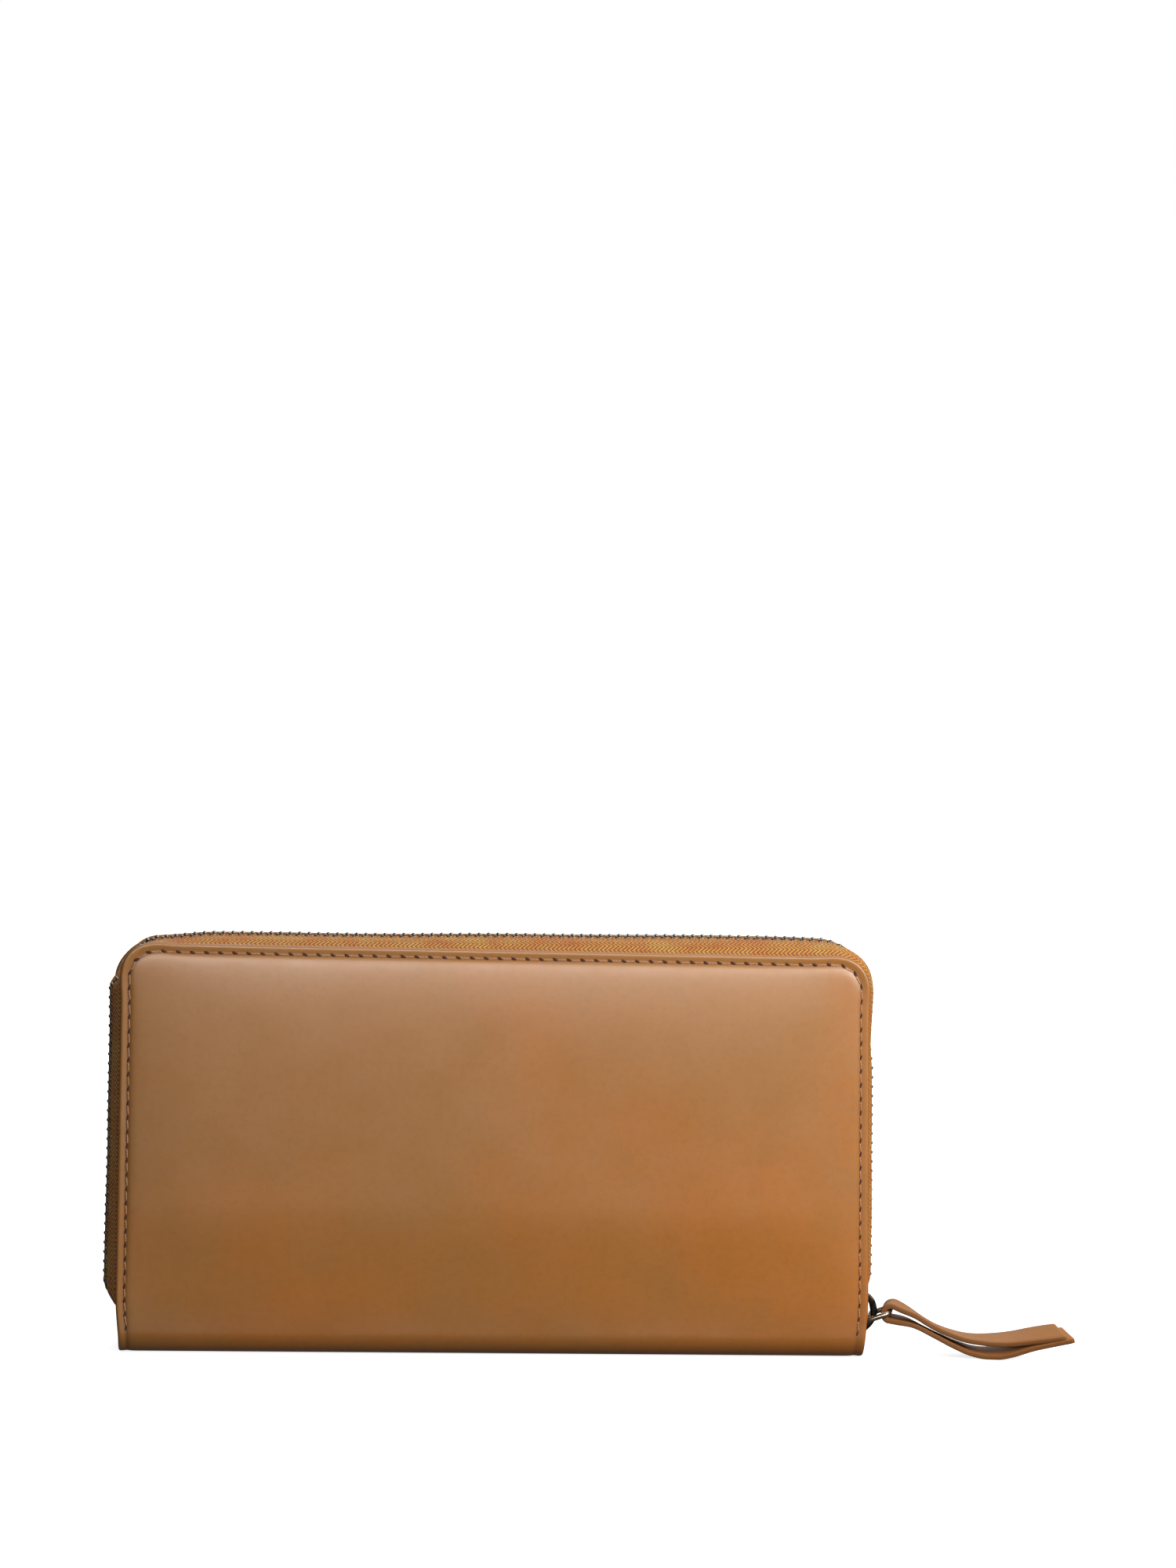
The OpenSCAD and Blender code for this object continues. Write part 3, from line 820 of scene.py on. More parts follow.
def thread_segment(start, end, out, radius=0.22, sag=0.26):
    """A short thread that comes up out of one hole and goes down into the next."""
    along = (end - start).normalized()
    wide = along.cross(out)
    path = []
    steps = 10
    for i in range(steps + 1):
        t = i / steps
        lift = sag * (math.sin(math.pi * t) ** 0.45 - 0.75)
        path.append((start.lerp(end, t) + out * lift, wide, out))
    return tube(path, lambda i: circle_section(radius, 8))


def add_edge_stitching():
    """Slanted needle holes with the thread lying between them, along the groove of each cover."""
    length = 2 * (ARC_Z - STITCH_BOTTOM) + math.pi * STITCH_R + 2 * ARC_X
    count = int(length / STITCH_PITCH)
    pitch = length / count
    for side_name, side in SIDES.items():
        holes, threads = Shape(), Shape()
        out = Vector((0, side, 0))
        for i in range(count + 1):
            x, z, ax, az = stitch_path(i * pitch)
            on_top = abs(ax) > 0.5
            slant = math.radians((30 if on_top else 14) + 8 * ripple(i, 3.1, 2.3))
            along = Vector((ax, 0, az))
            inward = Vector((az, 0, -ax))
            hole_axis = along * math.cos(slant) + inward * math.sin(slant)
            jitter = 0.12 * ripple(i, 7.7, 1.9)
            depth = puff(x, z, face_depth(STITCH_INSET))
            x, z = placed(x, z, side)
            centre = Vector((x, side * (depth + 0.05), z)) + inward * jitter
            # Each needle hole is a dark egg on the leather: painted shade inside the hole
            holes.add(*ellipsoid(centre, hole_axis, hole_axis.cross(out), out,
                                 (0.85, 0.42 if on_top else 0.29, 0.2)))
            if i == count:
                break
            next_x, next_z, _, _ = stitch_path((i + 1) * pitch)
            next_x, next_z = placed(next_x, next_z, side)
            following = Vector((next_x, side * depth, next_z)) + inward * jitter
            step = following - centre
            start, end = centre + step * 0.12, centre + step * 0.88
            threads.add(*thread_segment(start + inward * 0.12, end - inward * 0.12, out))
        body = side_name + "_cover"
        holes.piece(side_name + "_stitch_holes", "hole", body=body)
        threads.piece(side_name + "_edge_thread", "thread",
              [side_name + "_stitching"], body)


# ---------- main zip ----------

def rim(s):
    """The CAD line of teeth at a distance along it: the point it lies outside of, and the angle outwards."""
    return route(s, LEFT_RUN, CHAIN_R, LEAN)


def left_corner(angle):
    """0 to 1 to 0 round the left corner, strongest a little nearer to the side than to the top."""
    climbed = min(max((math.pi - angle) / (math.pi / 2), 0.0), 1.0)
    return math.sin(math.pi * climbed ** 0.6) ** 2


def chain_point(s):
    """(x, z) of the line of teeth as the sewn tape really holds it."""
    base_x, base_z, angle = rim(s)
    pulled_in = 0.0
    if LEFT_RUN <= s < TOP_START:
        pulled_in = 4.1 * left_corner(angle)
    if TOP_END <= s < RIGHT_START:
        pulled_in = -0.4 * math.sin(2 * min(max(angle, 0), math.pi / 2)) ** 2
    radius = CHAIN_R - pulled_in
    x = base_x + radius * math.cos(angle)
    z = base_z + radius * math.sin(angle)
    if TOP_START - 2 < s < RIGHT_START:
        z += 1.2 * between(ARC_X + 2 + x, 0, 16) * between(CHAIN_TOP_X - x, 0, 13)
        z += 0.5 * between(x, -50, 40) * between(ARC_X - x, -8, 12)
    z += 0.08 * math.sin(angle) * math.sin(s / 9.0)
    if s >= RIGHT_START:
        settled = between(z, SLIDER_Z + 3, SLIDER_Z + 11) * (1 - between(z, SLIDER_Z + 64, SLIDER_Z + 72))
        return x + settled * (0.0265 * (ARC_Z - z) + flare(x, z) + 0.6) - CORNER_SAG * between(z, 74, 84), z
    if s >= TOP_END:
        return x + lerp(-CORNER_SAG, flare(x, z), between(RIGHT_START - s, 0, CHAIN_R)), z
    if s < LEFT_RUN:
        end = max(LEFT_TURN_IN - s, 0)
        tucked = LEFT_TURN_IN - math.sqrt(LEFT_TURN_IN ** 2 - min(end, LEFT_TURN_IN) ** 2)
        pulled = 0.45 * between(LEFT_RUN - s, 0, 25) - flare(x, z) * between(s, LEFT_RUN - 25, LEFT_RUN)
        return x + pulled + tucked - 0.06 * math.sin(s / 7.0) * between(LEFT_RUN - s, 0, 12), z
    return flared(x, z), z


def cover_point(s, inset, side):
    """(x, z) beside the line of teeth at a distance in from the cover's edge."""
    base_x, base_z, angle = rim(s)
    if s < LEFT_RUN:
        x, z = -(HALF_W - inset), base_z
    elif s >= RIGHT_START:
        x, z = HALF_W - inset, CHAIN_TOP_Z - (s - RIGHT_START) * math.cos(LEAN)
    else:
        x = base_x + (CORNER_R - inset) * math.cos(angle)
        z = base_z + (CORNER_R - inset) * math.sin(angle)
    return placed(x, z, side)


# The tape from under the leather to its beaded edge: how far towards the teeth, depth, and how far it
# stands outside the straight line between them
TAPE_PROFILE = [
    (-1.9, 10.4, 0.0), (-0.9, 10.5, 0.0), (-0.45, 10.5, 0.0), (0.0, 10.42, 0.0), (0.12, 10.1, 0.05),
    (0.3, 9.3, 0.3), (0.48, 8.2, 0.5), (0.64, 7.0, 0.6), (0.78, 5.8, 0.56), (0.88, 4.7, 0.42),
    (0.95, 3.7, 0.26), (1.0, 3.0, 0.16), (1.0, 2.5, 0.14), (1.0, 2.15, 0.02),
]
HIDDEN_TAPE = 3.2
TAPE_UNDER = 0.75


def tape_stations():
    """Distances along the teeth at which the tape has a line of points, closer round the corners."""
    spans = [(0, LEFT_RUN, 40), (LEFT_RUN, TOP_START, 18), (TOP_START, TOP_END, 84),
             (TOP_END, RIGHT_START, 18), (RIGHT_START, TAPE_END, 52)]
    stations = [lerp(low, high, i / steps) for low, high, steps in spans for i in range(steps)]
    return stations + [TAPE_END]


def tape_line(s, side):
    """One line of the tape's spots, from under the leather to the beaded edge."""
    edge_x, edge_z = cover_point(s, TAPE_UNDER, side)
    chain_x, chain_z = chain_point(s)
    _, _, angle = rim(s)
    near_left_end = 1 - between(s, 0, 7)
    near_right_end = 1 - between(TAPE_END - s, 0, 9)
    corner = math.sin(2 * angle) ** 2 if LEFT_RUN < s < TOP_START or TOP_END < s < RIGHT_START else 0.0
    places = []
    for toward, depth, lift in TAPE_PROFILE:
        if toward < 0:
            x, z = cover_point(s, TAPE_UNDER - toward * HIDDEN_TAPE, side)
        else:
            bulge = 1.1 * left_corner(angle) if s < TOP_START else 1.5 * corner
            lift *= 1 + bulge + 0.25 * ripple(s, depth, 11, 2.0 + side)
            x = lerp(edge_x, chain_x, toward) + math.cos(angle) * lift
            z = lerp(edge_z, chain_z, toward) + math.sin(angle) * lift
        x -= near_right_end * max(toward, 0)
        z += near_right_end * 3.6 * (1 - max(toward, 0)) * (1 if toward > -0.5 else 0.9)
        places.append((x, depth, z - near_left_end * 1.5))
    # shade: painted shade where the tape goes under the leather's edge and where it turns down to the teeth
    shade = [0.4 * (1 - between(toward, 0.02, 0.2)) + 0.35 * between(toward, 0.93, 1.0)
             for toward, _, _ in TAPE_PROFILE]
    return [((x, side * depth, z), (s, girth), dark)
            for (x, depth, z), girth, dark in zip(places, travelled(places), shade)]


# A tooth's sections from its head to its heel: depth, half thickness across the tape, half width along it
TOOTH_SECTIONS = [
    (-0.72, 0.28, 0.16), (-0.66, 0.42, 0.28), (-0.4, 0.52, 0.38), (0.2, 0.58, 0.41), (0.75, 0.55, 0.36),
    (1.1, 0.55, 0.37), (1.45, TOOTH_HALF, 0.42), (2.5, TOOTH_HALF, 0.42), (2.78, 0.5, 0.36),
    (2.88, 0.35, 0.26),
]


def tooth_parts(centre, along, outward, depth_axis, scale=1.0):
    path = [(centre + depth_axis * (depth * scale), outward, along) for depth, _, _ in TOOTH_SECTIONS]

    def section(i):
        _, thick, wide = (scale * size for size in TOOTH_SECTIONS[i])
        return round_bar(thick, wide, min(thick, wide) * 0.9, steps=3)
    return tube(path, section)


def chain_frame(s):
    """Place, direction along and direction outwards of the line of teeth."""
    x, z = chain_point(s)
    before, after = chain_point(s - 0.4), chain_point(s + 0.4)
    along = Vector((after[0] - before[0], 0, after[1] - before[1])).normalized()
    outward = Vector((-along.z, 0, along.x))
    return Vector((x, 0, z)), along, outward


def add_zip():
    stop_places = (3.3, CHAIN_END + SLIDER_HALF_L + 0.9)
    for side_name, side in SIDES.items():
        body = side_name + "_cover"
        lines = [tape_line(s, side) for s in tape_stations()]
        tape = grid_piece(side_name + "_tape_cloth", lines, side < 0, refine=True, thickness=0.5, offset=-1.0)
        dress(tape, "tape", [side_name + "_zip_tape"], body)
        depth_axis = Vector((0, side, 0))
        bead = Shape()
        path = []
        for s in tape_stations()[2:]:
            place, along, outward = chain_frame(s)
            path.append((place + depth_axis * TAPE_EDGE, outward, depth_axis))
        bead.add(*tube(path, lambda i: circle_section(0.42, 8)))
        bead.piece(side_name + "_tape_bead", "tape", body=body)
        teeth = Shape()
        last = CHAIN_END - 0.7 - (TOOTH_PITCH / 2 if side_name == "back" else 0)
        for i in range(int((last - 5.0) / TOOTH_PITCH) + 1):
            place, along, outward = chain_frame(last - i * TOOTH_PITCH)
            teeth.add(*tooth_parts(place, along, outward, depth_axis))
        teeth.piece(side_name + "_metal_teeth", "teeth",
              [side_name + "_zip_teeth"], body)
        stops = Shape()
        for s in stop_places:
            place, along, outward = chain_frame(s)
            ends = [(place - outward * 0.1 + depth_axis * depth, outward, along)
                    for depth in (1.55, 1.7, 3.4, 3.6)]
            sizes = [(0.4, 0.6), (0.55, 0.8), (0.55, 0.8), (0.4, 0.55)]
            stops.add(*tube(ends, lambda i: round_bar(*sizes[i], 0.3, steps=2)))
        stops.piece(side_name + "_end_stops", "teeth", [side_name + "_zip_stops"], body)


# ---------- slider ----------

SLIDER_GAP = 1.3
SLIDER_PLATE = 0.8
SLIDER_SLOT = 0.75
SLIDER_RIM = 0.6


def slider_point(out, depth, up):
    """A place in the slider's own axes: out from the wallet, towards the back, and up the zip."""
    return Vector((
        SLIDER_X + out * math.cos(LEAN) + up * math.sin(LEAN),
        depth,
        SLIDER_Z - out * math.sin(LEAN) + up * math.cos(LEAN),
    ))


def slider_outline(shrink):
    """Half width at each height of the plates, widest at the shoulders, as a closed outline (depth, up)."""
    top, bottom = SLIDER_HALF_L - shrink, -SLIDER_HALF_L + shrink
    knots = [(bottom, 3.0), (bottom + 0.9, 3.75), (-2.6, 4.1), (0.6, 4.1), (top - 0.9, 3.78), (top, 3.3)]
    heights = spaced(bottom, top, 20)
    side = [(curve_at(knots, h) - shrink, h) for h in heights]
    return side + [(-w, h) for w, h in reversed(side)]


def slab(levels):
    """A closed slab from (out, outline) levels; every outline has the same number of points."""
    points = [slider_point(out, depth, up) for out, outline in levels for depth, up in outline]
    count = len(levels[0][1])
    return points, grid_faces(len(levels), count, wrap=True) + end_caps(count, len(points))


# Half width between the rims that join the plates' edges, at heights up the slider
RIM_KNOTS = [(-4.4, 3.2), (-3.4, 3.8), (-2.6, 3.8), (0.6, 3.8), (3.8, 3.5), (4.4, 3.2)]


def add_slider():
    body = Shape()
    outwards = slider_point(1, 0, 0) - slider_point(0, 0, 0)
    rim_half = (SLIDER_GAP - SLIDER_SLOT) / 2 + 0.1
    for way in (-1, 1):
        inner, outer = SLIDER_GAP * way, (SLIDER_GAP + SLIDER_PLATE) * way
        body.add(*slab([
            (inner, slider_outline(0.12)), (inner + 0.1 * way, slider_outline(0.0)),
            (outer - 0.3 * way, slider_outline(0.0)), (outer - 0.12 * way, slider_outline(0.1)),
            (outer, slider_outline(0.35)), (outer + 0.12 * way, slider_outline(0.9)),
        ]))
        middle = (SLIDER_SLOT + SLIDER_GAP) / 2 * way
        for edge in (-1, 1):
            path = []
            for up in spaced(-SLIDER_HALF_L + 0.3, SLIDER_HALF_L - 0.3, 12):
                half = curve_at(RIM_KNOTS, up)
                path.append((slider_point(middle, edge * half, up), outwards, Vector((0, 1, 0))))
            body.add(*tube(path, lambda i: round_bar(rim_half, SLIDER_RIM / 2, 0.14)))
    wedge = [(0.0, -0.9), (0.55, -1.7), (0.9, -2.6), (0.9, -4.5), (-0.9, -4.5), (-0.9, -2.6), (-0.55, -1.7)]
    body.add(*slab([(out, wedge) for out in (-SLIDER_GAP, 0.0, SLIDER_GAP)]))
    # The crescent bridge, from its upper root round to its lower one: out, up, radial half thickness
    crescent = [(1.75, 5.0, 0.5), (2.7, 4.85, 0.62), (3.9, 4.2, 0.74), (4.8, 3.2, 0.8), (5.3, 2.0, 0.84),
                (5.6, 0.5, 0.84), (5.5, -1.0, 0.78), (4.9, -2.5, 0.7), (3.8, -3.9, 0.62), (2.7, -4.8, 0.54),
                (1.75, -5.1, 0.5)]
    bridge = spline(crescent, 4)
    path = []
    for i, (out, up, _) in enumerate(bridge):
        heading = heading_at(bridge, i)
        side_way = slider_point(heading.y, 0, -heading.x) - slider_point(0, 0, 0)
        path.append((slider_point(out, 0, up), side_way, Vector((0, 1, 0))))
    body.add(*tube(path, lambda i: round_bar(bridge[i][2], 1.1, 0.4, steps=4)))
    body.piece("zip_slider_casting", "slider", ["zip_slider"], "slider")


# ---------- ring and strap ----------

pull_way = STRAP_AT - RING_AT
RING_L = pull_way.length
PULL_U = Vector((pull_way.x, pull_way.y, 0)).normalized()
PULL_V = Vector((-PULL_U.y, PULL_U.x, 0))
RING_U = pull_way.normalized()


def add_ring():
    """A wire bent into a closed rounded rectangle."""
    corners = [(0, 0), (1, 0), (1, 1), (0, 1)]
    path = []
    normal = RING_U.cross(PULL_V)
    for c, (far, right) in enumerate(corners):
        centre = RING_AT + RING_U * (RING_BEND + far * (RING_L - 2 * RING_BEND))
        centre += PULL_V * (RING_HALF_W - RING_BEND) * (1 if right else -1)
        for i in range(9):
            turn = math.pi + math.pi / 2 * (c + i / 8)
            outward = RING_U * math.cos(turn) + PULL_V * math.sin(turn)
            path.append((centre + outward * RING_BEND, outward, normal))
    shape = Shape()
    shape.add(*tube(path, lambda i: circle_section(RING_WIRE_R, 16), closed=True))
    shape.piece("ring_wire", "ring", ["pull_ring"], "ring")


def strap_route():
    """The strap's middle line in the pull's upright plane, from the end of its upper layer, round the
    ring and out to the end of its lower layer: (u from the far bar, height)."""
    bar_z = STRAP_AT[2]
    lean_u, lean_z = FOLD_MID_R * math.sin(FOLD_TILT), FOLD_MID_R * math.cos(FOLD_TILT)
    centre_u, centre_z = FOLD_SHIFT[0], bar_z + FOLD_SHIFT[1]
    upper = [(centre_u + lean_u, centre_z + lean_z), (6, 10.5), (12, 7.2), (19, 5.0), (25, 4.55), (31, 4.95),
             (37, 6.05), (44.5, 7.4)]
    lower = [(centre_u - lean_u, centre_z - lean_z), (5.4, 8.0), (12, 5.1), (17, 2.95), (22, 1.4),
             (27.4, 1.1), (32, 2.2), (38, 4.5), (46.5, 6.7)]

    arc = []
    for i in range(1, 16):
        turn = math.pi / 2 - FOLD_TILT + math.pi * i / 16
        arc.append((centre_u + FOLD_MID_R * math.cos(turn), centre_z + FOLD_MID_R * math.sin(turn)))
    return spline(upper, 7)[::-1], arc, spline(lower, 7)


def strap_roll(u):
    """How far the strap is turned about its own length, its front edge down."""
    return math.radians(lerp(-7, 15, between(u, 8, 42)) * between(u, 2, 8))


def add_strap():
    first, arc, second = strap_route()
    line = first + arc + second
    inside_first, inside_second = len(first), len(first) + len(arc)
    foot = Vector((STRAP_AT[0], STRAP_AT[1], 0))
    path, halves = [], []
    for i, (u, z) in enumerate(line):
        flat_heading = heading_at(line, i)
        heading = PULL_U * flat_heading.x + UP * flat_heading.y
        normal = PULL_V.cross(heading)
        roll = strap_roll(u)
        if i < inside_second and i >= inside_first:
            roll = 0.0
        turned = Matrix.Rotation(-roll if i < inside_second else roll, 3, heading)
        if i >= inside_second:
            z = max(z, STRAP_T / 2 + 0.06 + STRAP_W / 2 * math.sin(abs(roll)))
        place = foot + PULL_U * u + UP * z
        slant = STRAP_END_SLANT * (between(u, 36, 44) if not inside_first <= i < inside_second else 0.0)
        across = turned @ PULL_V - heading * slant * (-1 if i < inside_first else 1)
        path.append((place, across, turned @ normal))
        end = min(i, len(line) - 1 - i)
        halves.append(STRAP_W / 2 - 0.25 * (end == 0))
    points, faces, uvs = tube(path, lambda i: strap_section(halves[i]))
    shade = []
    for i in range(len(path)):
        for a, _ in strap_section(halves[i]):
            cut_edge = between(abs(a), STRAP_W / 2 - 0.35, STRAP_W / 2)
            shade.append(0.55 * cut_edge)
    shape = Shape()
    shape.add(points, faces, uvs, shade)
    shape.piece("strap_leather_fold", "strap", ["pull_strap"], "strap")


def strap_section(half):
    """The strap's cross-section: nearly square cut edges, with the corners just broken."""
    h = STRAP_T / 2
    one_side = [(half - 0.22, h), (half - 0.06, h - 0.08), (half, h - 0.25), (half + 0.02, 0),
                (half, -h + 0.25), (half - 0.06, -h + 0.08), (half - 0.22, -h)]
    inner = [(half * f, -h) for f in (0.66, 0.33, 0.0, -0.33, -0.66)]
    other = [(-a, b) for a, b in reversed(one_side)]
    back = [(half * f, h) for f in (-0.66, -0.33, 0.0, 0.33, 0.66)]
    return one_side + inner + other + back


# ---------- lining ----------

lining_low, lining_high = box_mm("front_lining")
spine_lining_low, spine_lining_high = box_mm("spine_lining")
LINING_T = lining_high[1] - lining_low[1]
LINING_DEPTH = -(lining_low[1] + lining_high[1]) / 2
LINING_TOP = lining_high[2]
LINING_HALF_W = lining_high[0]
LINING_CORNER = 7.5
SPINE_LINING_HALF_W = spine_lining_high[0]
SPINE_LINING_Z = (spine_lining_low[2] + spine_lining_high[2]) / 2


def lining_half_width(z):
    """Half width of the lining at a height: narrower in the fold, and rounded at its top corners."""
    half = lerp(SPINE_LINING_HALF_W, LINING_HALF_W, between(z, 2, 8))
    into_corner = max(z - (LINING_TOP - LINING_CORNER), 0)
    return half - LINING_CORNER + math.sqrt(LINING_CORNER ** 2 - into_corner ** 2)


def lining_section():
    """(depth, height) of the lining from the middle of the spine, through the fold and up the cover."""
    section = [(FOLD_DEPTH * i / 8, SPINE_LINING_Z) for i in range(8)]
    for i in range(15):
        turn = math.pi / 2 * i / 14
        radius = lerp(FOLD_R - SPINE_LINING_Z, LINING_DEPTH - FOLD_DEPTH, i / 14)
        section.append((FOLD_DEPTH + radius * math.sin(turn), FOLD_R - radius * math.cos(turn)))
    climb = [lerp(FOLD_R, LINING_TOP - LINING_CORNER, i / 40) for i in range(1, 41)]
    climb += [LINING_TOP - LINING_CORNER + LINING_CORNER * math.sin(math.pi / 2 * i / 8) for i in range(1, 9)]
    return section + [(LINING_DEPTH, z) for z in climb]


def lining_spot(x, depth, z, side, walked):
    """A spot of a lining, creased where it goes into the fold."""
    crease = 0.14 * bell(z, 9, 5) * ripple(x, 4.2, 6, 3.0)
    slack = 0.05 * ripple(x, z, 13, 7.0)
    # shade: painted shade down in the fold, and darker towards the side edges
    shade = 0.55 * bell(z, 5, 4) + 0.3 * between(abs(x), lining_half_width(z) - 3, lining_half_width(z))
    return (x, side * (depth - (crease + slack) * between(z, 4, 8)), z), (x, walked), shade


def add_linings():
    section = lining_section()
    walked = travelled(section)
    for side_name, side in SIDES.items():
        lines = [[lining_spot(lining_half_width(z) * across, depth, z, side, reached)
                  for across in spaced(-1, 1, 71)] for (depth, z), reached in zip(section, walked)]
        lining = grid_piece(side_name + "_lining_cloth", lines, side < 0, thickness=LINING_T * 0.8)
        dress(lining, "lining", [side_name + "_lining"] + (["spine_lining"] if side_name == "back" else []))
        fold_blend(lining)


# ---------- card slots ----------

slot_low, slot_high = box_mm("front_card_slot_1")
SLOT_HALF_W = slot_high[0]
SLOT_BOTTOM = slot_low[2]
SLOT_T = slot_high[1] - slot_low[1]
SLOT_COUNT = 4
THUMB_AT = 42.0
SLOT_STITCH = 2.9


def slot_edge(index, x):
    """Height of a card slot's open top edge, with a shallow thumb cut in each half."""
    top = box_mm("front_card_slot_%d" % index)[1][2]
    return top - 2.6 * math.exp(-((abs(x) - THUMB_AT) / 12.0) ** 2)


def slot_depth(index, x, height):
    """Depth of the middle of a card slot's leather; its open edge stands a little away from the wall."""
    free = between(slot_edge(index, x) - height, 14, 0)
    free *= between(SLOT_HALF_W - abs(x), 0, 20) * between(abs(x), 0, 16)
    return -slot_low[1] - SLOT_T * (index - 0.5) - 0.09 * index * free


def slot_spot(index, x, along, side):
    """A spot of a card slot; along goes from 0 at its foot to 1 at its open edge."""
    edge = slot_edge(index, x)
    z = lerp(SLOT_BOTTOM, edge, 1 - (1 - along) ** 1.6)
    to_edge = min(edge - z, SLOT_HALF_W - abs(x), z - SLOT_BOTTOM)
    shade = 0.75 * (1 - between(to_edge, 0.1, 0.7)) + 0.25 * bell(edge - z, 1.6, 0.4)
    return (x, side * slot_depth(index, x, z), z), (x + 37 * index, z), shade


def stitch_row(shape, places, out):
    """A row of short raised stitches along a line of places, a gap between each and the next."""
    for start, end in zip(places, places[1:]):
        along = (end - start)
        if along.length < 1e-6:
            continue
        way = along.normalized()
        shape.add(*ellipsoid(start.lerp(end, 0.5), way, way.cross(out), out, (along.length * 0.38, 0.2, 0.16),
                             rings=5, sides=6))


def slot_stitches(side_name):
    """Stitches under each slot's edge, down its sides and down the middle that parts its two columns."""
    side = SIDES[side_name]
    out = Vector((0, -side, 0))
    shape = Shape()

    def on_leather(x, z):
        top_index = max([i for i in range(1, SLOT_COUNT + 1) if slot_edge(i, x) > z + 0.3] or [1])
        return Vector((x, side * (slot_depth(top_index, x, z) - SLOT_T * 0.45), z))
    across = int(2 * (SLOT_HALF_W - 1.6) / SLOT_STITCH)
    for index in range(1, SLOT_COUNT + 1):
        xs = [lerp(-SLOT_HALF_W + 1.6, SLOT_HALF_W - 1.6, i / across) for i in range(across + 1)]
        stitch_row(shape, [on_leather(x, slot_edge(index, x) - 1.6) for x in xs], out)
    up = int((slot_edge(1, 0) - SLOT_BOTTOM - 3) / SLOT_STITCH)
    zs = [lerp(SLOT_BOTTOM + 1.5, slot_edge(1, 0) - 1.6, i / up) for i in range(up + 1)]
    for x in (-SLOT_HALF_W + 1.6, 0.0, SLOT_HALF_W - 1.6):
        stitch_row(shape, [on_leather(x, z) for z in zs], out)
    stitch_row(shape, [on_leather(lerp(-SLOT_HALF_W + 1.6, SLOT_HALF_W - 1.6, i / across), SLOT_BOTTOM + 1.5)
                       for i in range(across + 1)], out)
    return shape


def add_card_slots():
    for side_name, side in SIDES.items():
        body = side_name + "_cover"
        for index in range(1, SLOT_COUNT + 1):
            node = "%s_card_slot_%d" % (side_name, index)
            lines = [[slot_spot(index, x, along, side) for x in spaced(-SLOT_HALF_W, SLOT_HALF_W, 95)]
                     for along in spaced(0, 1, 29)]
            panel = grid_piece(node + "_leather", lines, side < 0, thickness=SLOT_T * 0.84)
            dress(panel, "slots", [node], body)
        slot_stitches(side_name).piece(side_name + "_slot_stitches", "thread", body=body)


# ---------- coin pocket ----------

pocket_low, pocket_high = box_mm("coin_pocket_front")
end_low, end_high = box_mm("coin_pocket_end_right")
WALL_DEPTH = (pocket_high[1] + pocket_low[1]) / -2
WALL_BOTTOM = pocket_low[2]
WALL_TOP = pocket_high[2]
WALL_HALF_W = pocket_high[0]
END_X = (end_low[0] + end_high[0]) / 2
END_PLEAT = 4.6
CLOTH_T = 0.45


def wall_spot(x, z, side):
    """A spot of the pocket's wall, slack where nothing holds it."""
    held = between(z - WALL_BOTTOM, 0, 18) * between(WALL_TOP - 6 - z, 0, 18) * between(END_X - abs(x), 0, 18)
    depth = WALL_DEPTH + held * (0.22 + 0.2 * ripple(x, z, 24, 5.0 + side))
    shade = 0.5 * bell(abs(x), END_X, 0.5) + 0.4 * (1 - between(z, WALL_BOTTOM, WALL_BOTTOM + 4))
    return (x, side * depth, z), (x, z), shade


def pocket_end_spot(t, z, way):
    """A spot of the pocket's narrow end: a strip with one pleat folded outwards between the walls."""
    pleat = END_PLEAT * (1 - abs(t) ** 1.15) * (1 + 0.06 * ripple(z, t, 9, 2.0))
    return (way * (END_X + pleat), (WALL_DEPTH - 0.35) * t, z), (t * 5.4, z), 0.0


def add_coin_pocket():
    base_low, base_high = box_mm("coin_pocket_base")
    path = [(Vector((x, 0, (base_low[2] + base_high[2]) / 2)), Vector((0, 1, 0)), Vector((0, 0, 1)))
            for x in (base_low[0], base_low[0] + 0.3, 0, base_high[0] - 0.3, base_high[0])]
    half_z = (base_high[2] - base_low[2]) / 2 - 0.02
    base = Shape()
    base.add(*tube(path, lambda i: round_bar(base_high[1] - (0.25 if i in (0, 4) else 0.02),
                                             half_z - (0.25 if i in (0, 4) else 0), 0.7, steps=4)))
    base.piece("coin_pocket_base_strip", "pocket", ["coin_pocket_base"], "core")
    for side_name, side in SIDES.items():
        lines = [[wall_spot(x, z, side) for x in spaced(-WALL_HALF_W, WALL_HALF_W, 75)]
                 for z in spaced(WALL_BOTTOM, WALL_TOP, 33)]
        wall = grid_piece("coin_pocket_%s_cloth" % side_name, lines, side > 0, thickness=CLOTH_T)
        dress(wall, "pocket", ["coin_pocket_" + side_name], "core")
    for word, way in ENDS.items():
        lines = [[pocket_end_spot(t, z, way) for t in spaced(-1, 1, 8)]
                 for z in spaced(WALL_BOTTOM + 0.1, WALL_TOP - 0.2, 23)]
        end = grid_piece("coin_pocket_end_%s_cloth" % word, lines, way > 0, thickness=0.35)
        dress(end, "pocket", ["coin_pocket_end_" + word], "core")


# ---------- coin zip ----------

coin_teeth_low, coin_teeth_high = box_mm("coin_zip_teeth")
coin_tape_low, coin_tape_high = box_mm("coin_zip_tape_front")
COIN_ZIP_Z = (coin_teeth_low[2] + coin_teeth_high[2]) / 2
COIN_TAPE_LOW = coin_tape_low[2]
COIN_TAPE_HALF_W = coin_tape_high[0]
COIN_TAPE_OUT = -coin_tape_low[1]
COIN_TAPE_EDGE = -coin_tape_high[1]
COIN_PITCH = 1.8
COIN_TOOTH_SCALE = 0.62


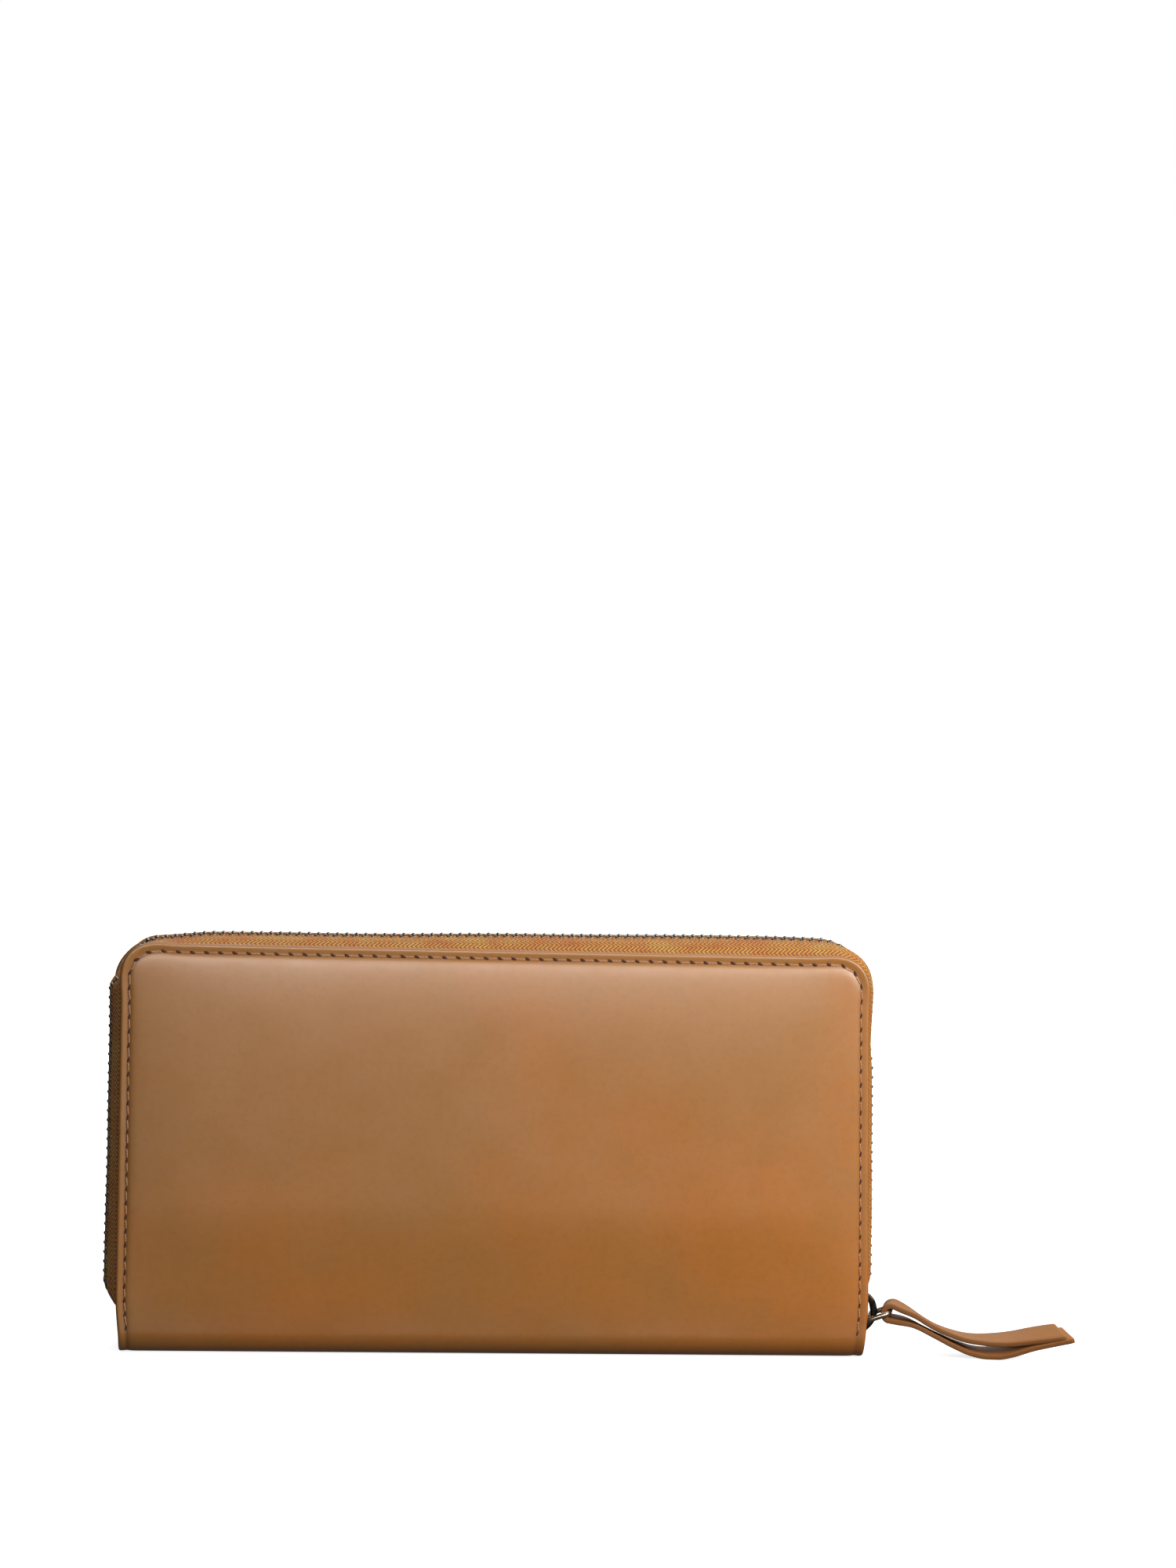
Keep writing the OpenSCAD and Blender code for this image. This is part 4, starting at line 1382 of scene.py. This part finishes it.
def coin_tape_mesh(name, side):
    """Woven tape that is sewn up the outside of the pocket's wall and turns in over its mouth."""
    outer = COIN_TAPE_OUT - 0.2
    profile = [(outer, COIN_TAPE_LOW), (outer, COIN_TAPE_LOW + 3), (outer - 0.02, COIN_ZIP_Z - 3.5),
               (outer + 0.05, COIN_ZIP_Z - 1.6), (outer - 0.1, COIN_ZIP_Z - 0.6),
               (outer - 0.5, COIN_ZIP_Z - 0.06), (COIN_TAPE_EDGE + 0.5, COIN_ZIP_Z + 0.05),
               (COIN_TAPE_EDGE, COIN_ZIP_Z)]
    xs = spaced(-COIN_TAPE_HALF_W, COIN_TAPE_HALF_W, 109)
    lines = []
    for r, ((depth, z), girth) in enumerate(zip(profile, travelled(profile))):
        wavy, dark = 0.07 * (r < 6), 0.35 * (r in (0, len(profile) - 1))
        lines.append([((x, side * (depth + wavy * ripple(x, z, 9, 4.0)), z), (x, girth), dark) for x in xs])
    return grid_piece(name, lines, side < 0, refine=True, thickness=0.35)


def add_coin_zip():
    slider_low, slider_high = box_mm("coin_zip_slider")
    slider_x = (slider_low[0] + slider_high[0]) / 2
    teeth = Shape()
    for side_name, side in SIDES.items():
        tape = coin_tape_mesh("coin_tape_%s_cloth" % side_name, side)
        dress(tape, "tape", ["coin_zip_tape_" + side_name], "core")
        depth_axis = Vector((0, side, 0))
        stitches = Shape()
        count = int(2 * (COIN_TAPE_HALF_W - 1) / SLOT_STITCH)
        places = [Vector((lerp(1 - COIN_TAPE_HALF_W, COIN_TAPE_HALF_W - 1, i / count), side * COIN_TAPE_OUT,
                          COIN_TAPE_LOW + 1.5)) for i in range(count + 1)]
        stitch_row(stitches, places, depth_axis)
        stitches.piece("coin_tape_%s_stitches" % side_name, "thread", body="core")
        start = -80 + (COIN_PITCH / 2 if side > 0 else 0)
        for i in range(int((slider_x - 1 - start) / COIN_PITCH) + 1):
            centre = Vector((start + i * COIN_PITCH, 0, COIN_ZIP_Z))
            teeth.add(*tooth_parts(centre, Vector((1, 0, 0)), UP, depth_axis, COIN_TOOTH_SCALE))
    teeth.piece("coin_metal_teeth", "teeth", ["coin_zip_teeth"], "core")
    stops = Shape()
    _, stops_high = box_mm("coin_zip_stops")
    for way in (-1, 1):
        middle = way * (stops_high[0] - 0.8)
        path = [(Vector((middle, y, COIN_ZIP_Z)), UP, Vector((1, 0, 0))) for y in (-1.2, -1.0, 1.0, 1.2)]
        sizes = [(0.5, 0.6), (0.7, 0.8), (0.7, 0.8), (0.5, 0.6)]
        stops.add(*tube(path, lambda i: round_bar(*sizes[i], 0.3)))
    stops.piece("coin_end_stops", "teeth", ["coin_zip_stops"], "core")


# ---------- gussets ----------

gusset_low, gusset_high = box_mm("gusset_front_right")
GUSSET_LOW = gusset_low[2]
GUSSET_HIGH = gusset_high[2]
GUSSET_X = gusset_high[0] - 0.25
GUSSET_PLEAT = GUSSET_X - gusset_low[0] - 0.1
GUSSET_NEAR = 3.15
GUSSET_FAR = 9.1
GUSSET_LEGS = 10


def gusset_line(z):
    """(x, depth) of a bellows gusset at a height: its pleats are shallow at the fold and deep at the top."""
    deep = GUSSET_PLEAT * lerp(0.12, 1.0, (z - GUSSET_LOW) / (GUSSET_HIGH - GUSSET_LOW))
    steps = 4
    line = []
    for i in range(GUSSET_LEGS * steps + 1):
        zigzag = abs((i / steps) % 2 - 1) if i % (2 * steps) else 1.0
        depth = lerp(GUSSET_NEAR, GUSSET_FAR, i / (GUSSET_LEGS * steps))
        line.append((GUSSET_X - deep * (1 - zigzag ** 0.9), depth))
    return line


def add_gussets():
    rows = 26
    for side_name, side in SIDES.items():
        for word, way in ENDS.items():
            lines = []
            area = widest = 0.0
            for z in spaced(GUSSET_LOW, GUSSET_HIGH, rows - 1):
                line = gusset_line(z)
                walked = travelled(line)
                widest = max(widest, walked[-1])
                area += walked[-1] * (GUSSET_HIGH - GUSSET_LOW) / rows
                lines.append([((way * x, side * depth, z), (reached, z), 0.0 if i % 4 else 0.5)
                              for i, ((x, depth), reached) in enumerate(zip(line, walked))])
            name = "gusset_%s_%s" % (side_name, word)
            gusset = grid_piece(name + "_cloth", lines, side * way > 0)
            dress(gusset, "lining", [name])
            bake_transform(gusset)


# ---------- CAD nodes that stay ----------

def soften(node, width):
    """Rounds a CAD node's hard edges without touching its mesh."""
    bevel = bpy.data.objects[node].modifiers.new("bevel", "BEVEL")
    bevel.width = width * MM
    bevel.segments = 2
    bevel.limit_method = "ANGLE"


def dress_cad_nodes():
    for node, look, edge in (("coin_zip_slider", "slider", 0.12), ("coin_zip_pull", "ring", 0.14),
                             ("front_board", "board", 0.1), ("back_board", "board", 0.1)):
        mesh = bpy.data.objects[node].data
        mesh.materials.clear()
        mesh.materials.append(LOOKS[look][0])
        soften(node, edge)


# ---------- build ----------

add_camera()
add_studio()
add_covers()
add_edge_stitching()
add_zip()
add_slider()
add_ring()
add_strap()
add_linings()
add_card_slots()
add_coin_pocket()
add_coin_zip()
add_gussets()
dress_cad_nodes()
